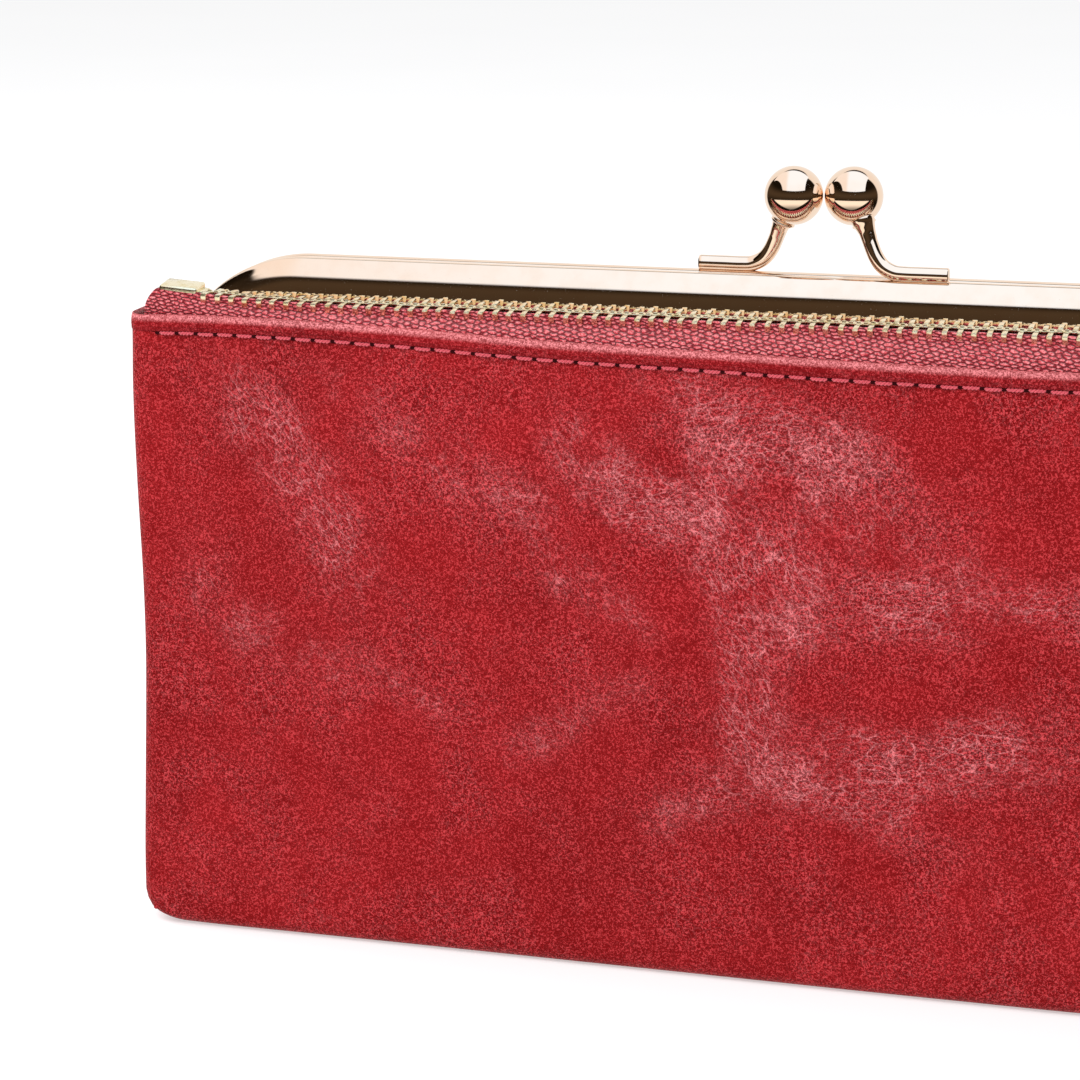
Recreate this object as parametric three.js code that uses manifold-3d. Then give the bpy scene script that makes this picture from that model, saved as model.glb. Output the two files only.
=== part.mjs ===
// A long leather wristlet wallet: a zipped pocket in front, a main compartment behind it that is
// closed by a two-part metal clasp frame, and a wrist strap on a snap hook at the right-hand end.
// Millimetres, +Z up, +X to the right, the front faces -Y, origin at the middle of the base.
import * as THREE from "three";
import { mergeVertices } from "three/addons/utils/BufferGeometryUtils.js";
import Module from "manifold-3d";

const wasm = await Module();
wasm.setup();

// ---- Driving dimensions ----

// Leather body
const WIDTH = 200; // end to end
const HEM_TOP = 92; // height of the zipped pocket's hem
const FRONT_MID = 16.5; // how far forward the front bows at its middle
const FRONT_END = 12.4; // and at its two ends
const BACK_MID = 14; // how far back the rear bows at its middle
const BACK_END = 11; // and at its two ends
const HINGE_LEAN = 3.2; // how far the rear has leaned in at the hinge
const LEATHER = 1.5; // thickness of the shell leather
const LINING = 0.6; // thickness of the lining cloth
const SIDE_CORNER = 4; // radius where the front and rear turn into the sides
const BASE_CORNER = 5; // radius of the lower corners, seen from the front
const HEM_HEIGHT = 3.4; // depth of the turned hem
const HEM_PROUD = 0.4; // how far the hem stands proud of the panel
const BASE_LEATHER = 1.5; // thickness of the base
const BOARD = 2; // thickness of the stiffener in the base
const SIDE_GAP = 3.2; // half the width of the open seam down each side

// Clearances
const GAP = 0.3; // between pieces that touch
const RUN = 0.5; // beside pieces that move past each other

// Clasp frame
const FRAME_TOP = 101.2; // height of the crest
const FRAME_INSET = 2; // how far the frame's ends stand in from the leather's
const FRAME_CORNER = 21; // outside radius of its corners
const FRAME_FACE = 7.6; // height of the channel, seen from the front
const FRAME_WALL = 0.8; // sheet metal on each side of the channel
const FRAME_SPINE = 1.6; // metal across the closed side of the channel
const FRAME_SEAM = 0.4; // gap between the two halves
const HINGE_Z = 62; // height of the rivets that the halves turn on
const LUG_RADIUS = 3.8;
const LUG_THICKNESS = 1.4;
const RIVET_RADIUS = 1.2;
const RIVET_HEAD_RADIUS = 2.1;
const RIVET_HEAD = 0.8;
const TUCK = 2.8; // how far the leather is tucked into the channel

// Ball clasp
const BALL_RADIUS = 4.15;
const BALL_RISE = 11.4; // the balls' centres above the crest
const BALL_CROSS = 0.75; // how far each ball stands past the seam, towards the other half
const ROD_RADIUS = 1.05;
const ROD_END = 18.3; // outer end of each rod, from the middle
const ROD_FOOT = 11; // inner end of the straight part of the rod
const COLLAR_RADIUS = 1.5;
const COLLAR_LENGTH = 0.9;

// Zip
const TEETH_RISE = 3.4; // the chain's height above the hem
const TOOTH_PITCH = 2.1;
const TOOTH_WIDTH = 0.75;
const TOOTH_REACH = 0.8; // how far a tooth reaches past the middle of the chain
const CHAIN_HALF = 2.1; // half the chain's width
const BEAD = 1; // width of the strip that the teeth grow from
const CHAIN_THICKNESS = 1.6;
const TAPE = 0.5; // thickness of the zip's tape
const TAPE_SEWN = 6.6; // depth of tape that is sewn behind the hem
const STOP_LENGTH = 5.8;
const TOP_STOP_LENGTH = 2.4;
const ZIP_MARGIN = 3; // from each end of the leather to the end of the zip
const SLIDER_LENGTH = 9;
const SLIDER_HALF = 3.1; // half the slider's width
const SLIDER_PLATE = 0.9; // thickness of its plates
const SLIDER_FLANGE = 0.6;
const SLIDER_FROM_END = 18; // from the leather's end to the slider, with the pocket closed
const PULL_LENGTH = 18;
const PULL_WIDTH = 5.4;
const PULL_THICKNESS = 1;

// Card slots
const SLOT_LEATHER = 0.9;
const SLOT_TOPS = [82, 76, 70];
const SLOT_MARGIN = 30; // from the ends of the leather

// Strap and its hardware
const RING_Z = 80; // height of the ring's middle
const RING_Y = -5.6; // middle of the pocket's side
const RING_WIRE = 0.9; // wire radius
const TAB_WIDTH = 9;
const TAB_LEATHER = 1.2;
const TAB_REACH = 4.6; // from the leather's end to the ring's straight bar
const TAB_RIVET_RADIUS = 1.1; // its hole in the tab
const TAB_RIVET_HEAD = 0.6; // height of each head
const TAB_RIVET_HEAD_RADIUS = 1.3;
const RING_STRAIGHT = 5.4; // length of the ring's level stretches
const RING_BEND = 1.6; // radius where they meet the bar
const HOOK_WIRE = 1.1;
const HOOK_HALF = 3.5; // half the width of the hook's loop, at mid-wire
const HOOK_LOOP = 13; // height of the hook's loop, at mid-wire
const GATE_LENGTH = 6.4;
const BARREL_RADIUS = 2.4;
const BARREL_LENGTH = 5;
const STEM_RADIUS = 1;
const STEM_HELD = 1.6; // how far short of the barrel's top its bore ends
const EYE_WIRE = 0.95;
const EYE_HEIGHT = 5;
const STRAP_WIDTH = 11;
const STRAP_LEATHER = 1.4;
const STRAP_NECK = 14; // from the eye to where the two layers part
const STRAP_RUN = 108; // how far the wrist loop lies out along the table
const STRAP_OPEN = 5.2; // height of the opening between its layers
const PLY_GAP = 0.15; // half the gap between the two layers at the neck
const KEEPER_WALL = 0.7;
const KEEPER_HEIGHT = 5;

// Colours
const leather = { color: 0xb4353c, roughness: 0.5, metalness: 0 };
const lining = { color: 0x8a2a30, roughness: 0.9, metalness: 0 };
const tape = { color: 0xc4495c, roughness: 0.85, metalness: 0 };
const teeth = { color: 0xd8c48a, roughness: 0.3, metalness: 1 };
const gold = { color: 0xe8c3a4, roughness: 0.12, metalness: 1 };
const board = { color: 0xb8a284, roughness: 0.9, metalness: 0 };

// ---- Places worked out from them ----

const HALF = WIDTH / 2;
const CHANNEL = LEATHER + 2 * GAP + 2 * FRAME_WALL; // front to back of each half
const FACE = FRAME_SEAM / 2 + CHANNEL; // outer face of each half, from the seam
const WALL_MID = FACE - CHANNEL / 2; // middle of the leather in each channel
const FRAME_HALF = HALF - FRAME_INSET;
const FRAME_INSIDE = FRAME_HALF - FRAME_FACE;
const TUCK_INSET = FRAME_FACE - TUCK; // from the frame's outside to the tucked edge
const LUG_GAP = GAP;
const UPPER_BOTTOM = HINGE_Z + 1;
const LOWER_TOP = HINGE_Z - 6;
const WALL_FOOT = BASE_LEATHER + GAP;
const ZIP_Y = -(FACE + RUN + SLIDER_HALF);
const ZIP_Z = HEM_TOP + TEETH_RISE;
const CHAIN_TOP = ZIP_Z + CHAIN_THICKNESS / 2;
const ZIP_END = HALF - ZIP_MARGIN;
const SLIDER_AT = HALF - SLIDER_FROM_END;
const RING_BAR_X = HALF + TAB_REACH;
const RING_HALF = TAB_WIDTH / 2 + GAP + RING_WIRE; // from the ring's middle to its level wires
const HOOK_X = RING_BAR_X + RING_STRAIGHT - 0.5;

// ---- Helpers ----

const group = new THREE.Group();

function add(name, geometry, finish) {
  const mesh = new THREE.Mesh(geometry, new THREE.MeshStandardMaterial(finish));
  mesh.name = name;
  group.add(mesh);
  return mesh;
}

function bare(geometry) {
  geometry.deleteAttribute("normal");
  geometry.deleteAttribute("uv");
  return mergeVertices(geometry, 1e-4);
}

// A geometry as a solid that can be cut and joined.
function solid(geometry) {
  const g = bare(geometry);
  const vertProperties = new Float32Array(g.attributes.position.array);
  const triVerts = new Uint32Array(g.index.array);
  return new wasm.Manifold(new wasm.Mesh({ numProp: 3, vertProperties, triVerts }));
}

function geometryOf(manifold) {
  const { vertProperties, triVerts } = manifold.getMesh();
  const g = new THREE.BufferGeometry();
  g.setAttribute("position", new THREE.BufferAttribute(new Float32Array(vertProperties), 3));
  g.setIndex(new THREE.BufferAttribute(new Uint32Array(triVerts), 1));
  g.computeVertexNormals();
  return g;
}

const join = (...parts) => geometryOf(parts.map(solid).reduce((a, b) => a.add(b)));
const cut = (first, ...rest) => geometryOf(rest.map(solid).reduce((a, b) => a.subtract(b), solid(first)));
const common = (a, b) => geometryOf(solid(a).intersect(solid(b)));

// A plan outline (x, y) raised from z0 to z1.
function raised(shape, z0, z1, curveSegments = 6) {
  const g = new THREE.ExtrudeGeometry(shape, { depth: z1 - z0, bevelEnabled: false, curveSegments });
  return g.translate(0, 0, z0);
}

// A front outline (x, z) given depth from y0 to y1.
function upright(shape, y0, y1, curveSegments = 8) {
  const g = new THREE.ExtrudeGeometry(shape, { depth: y1 - y0, bevelEnabled: false, curveSegments });
  return g.rotateX(Math.PI / 2).translate(0, y1, 0);
}

// A side profile (y, z) carried along from x0 to x1.
function along(shape, x0, x1, curveSegments = 8) {
  const g = new THREE.ExtrudeGeometry(shape, { depth: x1 - x0, bevelEnabled: false, curveSegments });
  return g.rotateX(Math.PI / 2).rotateZ(Math.PI / 2).translate(x0, 0, 0);
}

function polygon(points) {
  return new THREE.Shape(points.map(([x, y]) => new THREE.Vector2(x, y)));
}

function rectangle(x0, x1, y0, y1) {
  return polygon([[x0, y0], [x1, y0], [x1, y1], [x0, y1]]);
}

function box(x0, x1, y0, y1, z0, z1) {
  return new THREE.BoxGeometry(x1 - x0, y1 - y0, z1 - z0).translate((x0 + x1) / 2, (y0 + y1) / 2, (z0 + z1) / 2);
}

function disc(radius) {
  const shape = new THREE.Shape();
  shape.absarc(0, 0, radius, 0, 2 * Math.PI);
  return shape;
}

// A round bar that follows a curve.
function wire(curve, radius, steps, sides = 10) {
  const ring = Array.from({ length: sides }, (_, i) => {
    const a = (2 * Math.PI * i) / sides;
    return [radius * Math.cos(a), radius * Math.sin(a)];
  });
  return new THREE.ExtrudeGeometry(polygon(ring), { steps, extrudePath: curve, bevelEnabled: false });
}

function turned(profile, segments = 20) {
  return new THREE.LatheGeometry(profile.map(([r, h]) => new THREE.Vector2(r, h)), segments);
}

// A body through matching (y, z) sections at a row of x places, closed at both ends.
function lofted(places, sectionAt) {
  const flat = places.map((x) => sectionAt(x).map(([y, z]) => new THREE.Vector2(y, z)));
  if (THREE.ShapeUtils.isClockWise(flat[0])) flat.forEach((loop) => loop.reverse());
  const loops = places.map((x, i) => flat[i].map((p) => [x, p.x, p.y]));
  const n = loops[0].length;
  const index = [];
  for (let i = 0; i + 1 < loops.length; i++) {
    for (let k = 0; k < n; k++) {
      const a = i * n + k;
      const b = i * n + ((k + 1) % n);
      index.push(a, b, b + n, a, b + n, a + n);
    }
  }
  const last = (loops.length - 1) * n;
  const cap = (loop) => THREE.ShapeUtils.triangulateShape(loop, []);
  for (const [a, b, c] of cap(flat[0])) index.push(a, c, b);
  for (const [a, b, c] of cap(flat[flat.length - 1])) index.push(last + a, last + b, last + c);
  const g = new THREE.BufferGeometry();
  g.setAttribute("position", new THREE.Float32BufferAttribute(loops.flat(2), 3));
  g.setIndex(index);
  return facingOut(g);
}

// Turns a closed geometry's faces outward.
function facingOut(g) {
  const p = g.attributes.position;
  const v = [0, 1, 2].map(() => new THREE.Vector3());
  let volume = 0;
  for (let i = 0; i < g.index.count; i += 3) {
    v.forEach((corner, k) => corner.fromBufferAttribute(p, g.index.getX(i + k)));
    volume += v[0].dot(v[1].cross(v[2]));
  }
  if (volume < 0) g.index.array.reverse();
  return g;
}

// The outline of a strip of the given thickness about an open line of (y, z) points.
function strip(points, thickness) {
  const side = (sign) => points.map(([y, z], i) => {
    const [y0, z0] = points[Math.max(i - 1, 0)];
    const [y1, z1] = points[Math.min(i + 1, points.length - 1)];
    const before = new THREE.Vector2(y - y0, z - z0).normalize();
    const after = new THREE.Vector2(y1 - y, z1 - z).normalize();
    const way = before.clone().add(after).normalize();
    const lean = Math.max(way.dot(i ? before : after), 0.7); // a mitre no longer than the strip is thick
    const reach = (sign * thickness) / 2 / lean;
    return [y - way.y * reach, z + way.x * reach];
  });
  return [...side(1), ...side(-1).reverse()];
}

const spaced = (from, to, count) => Array.from({ length: count + 1 }, (_, i) => from + ((to - from) * i) / count);

// How far the shell stands out at a place along its width; sign is -1 in front and 1 behind.
function bow(x, end, mid) {
  return end + (mid - end) * (1 - (x / HALF) ** 2);
}
const frontAt = (x) => -bow(x, FRONT_END, FRONT_MID);
const backAt = (x) => bow(x, BACK_END, BACK_MID);

// A sheet that follows the bow, from one depth under the surface to another.
function bowedSheet(surface, sign, half, depth, thickness) {
  const xs = spaced(-half, half, 16);
  const outer = xs.map((x) => [x, surface(x) - sign * depth]);
  const inner = xs.map((x) => [x, surface(x) - sign * (depth + thickness)]).reverse();
  return polygon([...outer, ...inner]);
}

// One side of a shell panel in plan: along the side, round the corner and over the bow.
function shellLine(surface, sign, inset) {
  const r = SIDE_CORNER;
  const turn = spaced(0, Math.PI / 2, 5).map((a) => {
    const x = HALF - r + (r - inset) * Math.cos(a);
    return [x, surface(HALF - r) - sign * r + sign * (r - inset) * Math.sin(a)];
  });
  const right = [[HALF - inset, sign * SIDE_GAP], ...turn];
  const middle = spaced(HALF - r, r - HALF, 16).slice(1, -1).map((x) => [x, surface(x) - sign * inset]);
  const left = right.map(([x, y]) => [-x, y]).reverse();
  return [...right, ...middle, ...left];
}

function shellPanel(surface, sign, inset, thickness) {
  const outer = shellLine(surface, sign, inset);
  const inner = shellLine(surface, sign, inset + thickness).reverse();
  return polygon([...outer, ...inner]);
}

// The wallet's front silhouette with its rounded lower corners.
function silhouette(top) {
  const s = new THREE.Shape();
  s.moveTo(-HALF - 1, BASE_CORNER);
  s.lineTo(-HALF, BASE_CORNER);
  s.absarc(-HALF + BASE_CORNER, BASE_CORNER, BASE_CORNER, Math.PI, 1.5 * Math.PI, false);
  s.absarc(HALF - BASE_CORNER, BASE_CORNER, BASE_CORNER, 1.5 * Math.PI, 2 * Math.PI, false);
  s.lineTo(HALF + 1, BASE_CORNER);
  s.lineTo(HALF + 1, top);
  s.lineTo(-HALF - 1, top);
  return s;
}

// The clasp frame's outline, moved in by inset and standing on z = foot.
function arch(inset, foot) {
  const half = FRAME_HALF - inset;
  const top = FRAME_TOP - inset;
  const r = FRAME_CORNER - inset;
  const s = new THREE.Shape();
  s.moveTo(-half, foot);
  s.lineTo(half, foot);
  s.lineTo(half, top - r);
  s.absarc(half - r, top - r, r, 0, Math.PI / 2, false);
  s.absarc(r - half, top - r, r, Math.PI / 2, Math.PI, false);
  s.lineTo(-half, foot);
  return s;
}

// ---- Shell leather ----

function panelUnder(surface, sign, top) {
  const sheet = raised(shellPanel(surface, sign, 0, LEATHER), WALL_FOOT, top);
  const reach = Math.max(FRONT_MID, BACK_MID) + 1;
  return common(sheet, upright(silhouette(top + 1), -reach, reach));
}

function shell() {
  const hemFoot = HEM_TOP - HEM_HEIGHT;
  add("front_panel", panelUnder(frontAt, -1, hemFoot - GAP), leather);
  const hem = shellPanel((x) => frontAt(x), -1, -HEM_PROUD, LEATHER + HEM_PROUD);
  add("front_hem", raised(hem, hemFoot, HEM_TOP), leather);
  add("back_panel_lower", panelUnder(backAt, 1, LOWER_TOP), leather);

  const half = HALF - BASE_CORNER;
  const xs = spaced(-half, half, 16);
  const base = polygon([...xs.map((x) => [x, frontAt(x)]), ...xs.map((x) => [x, backAt(x)]).reverse()]);
  add("base_panel", raised(base, 0, BASE_LEATHER), leather);

  add("divider_wall", upright(arch(TUCK_INSET, WALL_FOOT), -WALL_MID - LEATHER / 2, -WALL_MID + LEATHER / 2), leather);

  const outside = HALF - LEATHER - GAP;
  for (const [name, sign] of [["gusset_left", -1], ["gusset_right", 1]]) {
    const x = sign < 0 ? -outside : outside - LEATHER;
    const y0 = frontAt(HALF) + LEATHER + GAP + SIDE_CORNER / 3;
    const y1 = backAt(HALF) - LEATHER - GAP - SIDE_CORNER / 3;
    add(name, box(x, x + LEATHER, y0, y1, WALL_FOOT, LOWER_TOP), leather);
  }
}

// ---- Upper part of the back, which opens with the rear half of the frame ----

const UPPER_HALF = FRAME_HALF - TUCK_INSET;
const UPPER_TOP = FRAME_TOP - TUCK_INSET;
const BULGE = BACK_MID - LEATHER - WALL_MID - HINGE_LEAN; // how far the back stands out at the hinge
const STRAIGHT = 0.12; // share of its height, below the tucked edge, that stays straight
const FLAT_SIDE = 0.2; // share of the swell given up at the sides

// The middle of the back sheet: tucked in the channel above and at the sides, full below.
function upperMid(x, z) {
  const across = 1 - (x / UPPER_HALF) ** 4;
  const drop = Math.min(Math.max((UPPER_TOP - z) / (UPPER_TOP - UPPER_BOTTOM), 0), 1);
  const clear = Math.max(drop - STRAIGHT, 0) / (1 - STRAIGHT);
  const swell = Math.max(across - FLAT_SIDE, 0) / (1 - FLAT_SIDE);
  return WALL_MID + BULGE * swell * Math.sin((clear * Math.PI) / 2);
}

// A sheet at that depth from the middle. Every sheet is made over the same places and then trimmed,
// so that two of them stay the same distance apart.
function upperSheet(inset, thickness, shift) {
  const zs = spaced(UPPER_BOTTOM, UPPER_TOP, 8);
  const places = spaced(-Math.PI / 2, Math.PI / 2, 22).map((a) => UPPER_HALF * Math.sin(a)); // closest at the ends
  const sheet = lofted(places, (x) => {
    const outer = zs.map((z) => [upperMid(x, z) + shift + thickness / 2, z]);
    const inner = zs.map((z) => [upperMid(x, z) + shift - thickness / 2, z]).reverse();
    return [...outer, ...inner];
  });
  const depth = WALL_MID + BULGE + LEATHER;
  return common(sheet, upright(arch(TUCK_INSET + inset, UPPER_BOTTOM - 1), -depth, depth));
}

function upperBack() {
  add("back_panel_upper", upperSheet(0, LEATHER, 0), leather);
  const clear = TUCK + GAP;
  add("main_lining_upper", upperSheet(clear, LINING, -(LEATHER / 2 + GAP + LINING / 2)), lining);
}

// ---- Linings, stiffener and card slots ----

function inside() {
  const sheetHalf = FRAME_INSIDE - GAP;
  const archSheet = (y) => upright(arch(FRAME_FACE + GAP, WALL_FOOT), y, y + LINING);
  const dividerFront = -WALL_MID - LEATHER / 2;
  const dividerBack = -WALL_MID + LEATHER / 2;
  const depth = LEATHER + GAP;
  const tapeFoot = HEM_TOP - TAPE_SEWN;

  const frontSheet = raised(
    bowedSheet(frontAt, -1, sheetHalf, depth, LINING), WALL_FOOT, tapeFoot - GAP);
  const xs = spaced(-sheetHalf, sheetHalf, 16);
  const floorBack = dividerFront - GAP;
  const floor = polygon([...xs.map((x) => [x, frontAt(x) + depth]), [sheetHalf, floorBack], [-sheetHalf, floorBack]]);
  const floorSheet = raised(floor, WALL_FOOT, WALL_FOOT + LINING);
  add("pocket_lining", join(frontSheet, floorSheet, archSheet(floorBack - LINING)), lining);

  const front = dividerBack + GAP;
  add("main_lining_front", archSheet(front), lining);
  add("main_lining_back",
    raised(bowedSheet(backAt, 1, sheetHalf, depth, LINING), WALL_FOOT, LOWER_TOP), lining);

  const boardFront = front + LINING + GAP;
  const boardInside = depth + LINING + GAP;
  const boardBack = xs.map((x) => [x, backAt(x) - boardInside]).reverse();
  add("base_board",
    raised(polygon([[-sheetHalf, boardFront], [sheetHalf, boardFront], ...boardBack]), WALL_FOOT, WALL_FOOT + BOARD),
    board);

  const foot = WALL_FOOT + BOARD + GAP;
  SLOT_TOPS.forEach((top, i) => {
    const y = boardFront + i * (SLOT_LEATHER + GAP);
    const half = HALF - SLOT_MARGIN;
    add(`card_slot_${i + 1}`, box(-half, half, y, y + SLOT_LEATHER, foot, top), leather);
  });
}

// ---- Clasp frame ----

// One half: a bent channel, open towards the leather, with a hinge lug at the foot of each leg.
function frameHalf(sign) {
  const y0 = sign < 0 ? -FACE : FRAME_SEAM / 2;
  const y1 = y0 + CHANNEL;
  const legFoot = HINGE_Z + LUG_RADIUS + 2 * GAP;
  const body = cut(
    upright(arch(0, legFoot), y0, y1, 10),
    upright(arch(FRAME_FACE, legFoot - 1), y0 - 1, y1 + 1, 10),
    upright(arch(FRAME_SPINE, legFoot - 1), y0 + FRAME_WALL, y1 - FRAME_WALL, 10));
  const lugX = FRAME_HALF - LUG_THICKNESS - (sign < 0 ? 0 : LUG_THICKNESS + LUG_GAP);
  const lugs = [-1, 1].map((end) => {
    const x = end < 0 ? -lugX - LUG_THICKNESS : lugX;
    const round = along(disc(LUG_RADIUS), x, x + LUG_THICKNESS, 10).translate(0, 0, HINGE_Z);
    const web = along(rectangle(y0, y1, HINGE_Z, legFoot + 2), x, x + LUG_THICKNESS);
    const hole = along(disc(RIVET_RADIUS + GAP), x - 1, x + LUG_THICKNESS + 1, 8).translate(0, 0, HINGE_Z);
    return cut(join(round, web), hole);
  });
  return join(body, ...lugs);
}

// The paper cord that wedges the leather in the channel.
function frameCord(sign) {
  const mid = sign * WALL_MID;
  const foot = HINGE_Z + LUG_RADIUS + 4;
  const outside = upright(arch(FRAME_SPINE + GAP, foot), mid - LEATHER / 2, mid + LEATHER / 2, 6);
  return cut(outside, upright(arch(TUCK_INSET - GAP, foot - 1), mid - LEATHER, mid + LEATHER, 6));
}

function rivet(end) {
  const outer = FRAME_HALF + GAP;
  const inner = FRAME_HALF - 2 * LUG_THICKNESS - LUG_GAP - GAP;
  const shape = turned([
    [0, inner - RIVET_HEAD], [RIVET_HEAD_RADIUS - 0.4, inner - RIVET_HEAD], [RIVET_HEAD_RADIUS, inner - 0.2],
    [RIVET_HEAD_RADIUS, inner], [RIVET_RADIUS, inner], [RIVET_RADIUS, outer], [RIVET_HEAD_RADIUS, outer],
    [RIVET_HEAD_RADIUS, outer + 0.2], [RIVET_HEAD_RADIUS - 0.6, outer + RIVET_HEAD], [0, outer + RIVET_HEAD],
  ], 16);
  return shape.rotateZ((-end * Math.PI) / 2).translate(0, 0, HINGE_Z);
}

// A rod lying on the crest that turns up into the neck of its ball.
function claspSide(name, side, half) {
  const ballAt = new THREE.Vector3(side * (BALL_RADIUS + GAP / 2), -half * BALL_CROSS, FRAME_TOP + BALL_RISE);
  const rodY = half * WALL_MID;
  const rodZ = FRAME_TOP + GAP + ROD_RADIUS;
  const neckWay = new THREE.Vector3(side * 0.42, half * 0.12, -1).normalize();
  const neck = ballAt.clone().addScaledVector(neckWay, BALL_RADIUS + GAP);
  const rise = neck.z - rodZ;
  const point = (x, lift) => new THREE.Vector3(side * x, rodY + (neck.y - rodY) * lift, rodZ + rise * lift);
  const neckX = Math.abs(neck.x);
  const curve = new THREE.CatmullRomCurve3([
    point(ROD_END, 0), point((ROD_END + ROD_FOOT) / 2, 0), point(ROD_FOOT, 0), point(neckX + 3.2, 0.14),
    point(neckX + 1.1, 0.5), neck,
  ], false, "centripetal");
  const collar = new THREE.CylinderGeometry(COLLAR_RADIUS, ROD_RADIUS, COLLAR_LENGTH, 12);
  collar.rotateX(Math.PI / 2).lookAt(neckWay.clone().negate());
  const collarAt = neck.clone().addScaledVector(neckWay, COLLAR_LENGTH / 2);
  collar.translate(collarAt.x, collarAt.y, collarAt.z);
  add(`clasp_arm_${name}`, join(wire(curve, ROD_RADIUS, 20), collar), gold);
  const ball = new THREE.SphereGeometry(BALL_RADIUS, 20, 14);
  add(`clasp_ball_${name}`, bare(ball.translate(ballAt.x, ballAt.y, ballAt.z)), gold);
}

function claspFrame() {
  add("front_frame", frameHalf(-1), gold);
  add("back_frame", frameHalf(1), gold);
  add("front_frame_cord", frameCord(-1), board);
  add("back_frame_cord", frameCord(1), board);
  claspSide("right", 1, -1);
  claspSide("left", -1, 1);
  add("hinge_rivet_left", rivet(-1), gold);
  add("hinge_rivet_right", rivet(1), gold);
}

// ---- Zip ----

const TEETH_FROM = -ZIP_END + STOP_LENGTH + GAP;
const TEETH_TO = ZIP_END - TOP_STOP_LENGTH - GAP;

// One row of teeth on its bead; side is -1 for the front row.
function teethRow(side) {
  const first = TEETH_FROM + TOOTH_PITCH / 2 + (side > 0 ? TOOTH_PITCH / 2 : 0);
  const count = Math.floor((TEETH_TO - first - TOOTH_WIDTH) / TOOTH_PITCH) + 1;
  const root = CHAIN_HALF - BEAD;
  const line = [[TEETH_FROM, CHAIN_HALF], [TEETH_FROM, root]];
  for (let i = 0; i < count; i++) {
    const x = first + i * TOOTH_PITCH;
    line.push([x - TOOTH_WIDTH / 2, root], [x - TOOTH_WIDTH / 2, -TOOTH_REACH]);
    line.push([x + TOOTH_WIDTH / 2, -TOOTH_REACH], [x + TOOTH_WIDTH / 2, root]);
  }
  line.push([TEETH_TO, root], [TEETH_TO, CHAIN_HALF]);
  const outline = polygon(line.map(([x, y]) => [x, ZIP_Y + side * y]));
  return raised(outline, ZIP_Z - CHAIN_THICKNESS / 2, CHAIN_TOP);
}

// The tape on one side: sewn flat below, then over to the edge of the teeth.
function tapeSide(side) {
  const edge = ZIP_Y + side * (CHAIN_HALF + GAP);
  const foot = HEM_TOP - TAPE_SEWN;
  const bend = SLIDER_HALF + 0.2;
  return lofted(spaced(SIDE_CORNER - HALF, HALF - SIDE_CORNER, 20), (x) => {
    const sewn = side < 0 ? frontAt(x) + LEATHER + GAP + TAPE / 2 : -(FACE + GAP + TAPE / 2);
    const over = side < 0 ? Math.max(ZIP_Y - bend, sewn + 0.05) : sewn - 0.05;
    const shoulder = side < 0 ? HEM_TOP - 0.6 : ZIP_Z - 1;
    const line = [[sewn, foot], [sewn, shoulder], [over, ZIP_Z], [edge, ZIP_Z]];
    return strip(line, TAPE);
  });
}

function zip() {
  add("zip_tape_front", tapeSide(-1), tape);
  add("zip_tape_back", tapeSide(1), tape);
  add("zip_teeth_front", teethRow(-1), teeth);
  add("zip_teeth_back", teethRow(1), teeth);
  const z0 = ZIP_Z - CHAIN_THICKNESS / 2 - 0.3;
  const z1 = CHAIN_TOP + 0.3;
  const stop = polygon([
    [ZIP_Y - CHAIN_HALF, z0], [ZIP_Y + CHAIN_HALF, z0], [ZIP_Y + CHAIN_HALF, z1 - 0.5],
    [ZIP_Y + CHAIN_HALF - 0.6, z1], [ZIP_Y - CHAIN_HALF + 0.6, z1], [ZIP_Y - CHAIN_HALF, z1 - 0.5],
  ]);
  add("zip_bottom_stop", along(stop, -ZIP_END, -ZIP_END + STOP_LENGTH), teeth);
  for (const [name, side] of [["zip_top_stop_front", -1], ["zip_top_stop_back", 1]]) {
    const y = [ZIP_Y + side * CHAIN_HALF, ZIP_Y + side * (GAP + 0.2)].sort((a, b) => a - b);
    add(name, box(ZIP_END - TOP_STOP_LENGTH, ZIP_END, ...y, z0, z1), teeth);
  }
}

// ---- Slider and pull ----

const PLATE_FOOT = CHAIN_TOP + 0.4;
const PLATE_TOP = PLATE_FOOT + SLIDER_PLATE;
const BRIDGE_HALF = 3;
const BRIDGE_WIDTH = 1.8;
const BRIDGE_BAR = 0.9;
const BRIDGE_OPEN = 2;
const PIN_RADIUS = 0.65;
const PIVOT_Z = PLATE_TOP + BRIDGE_OPEN / 2;

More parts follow.
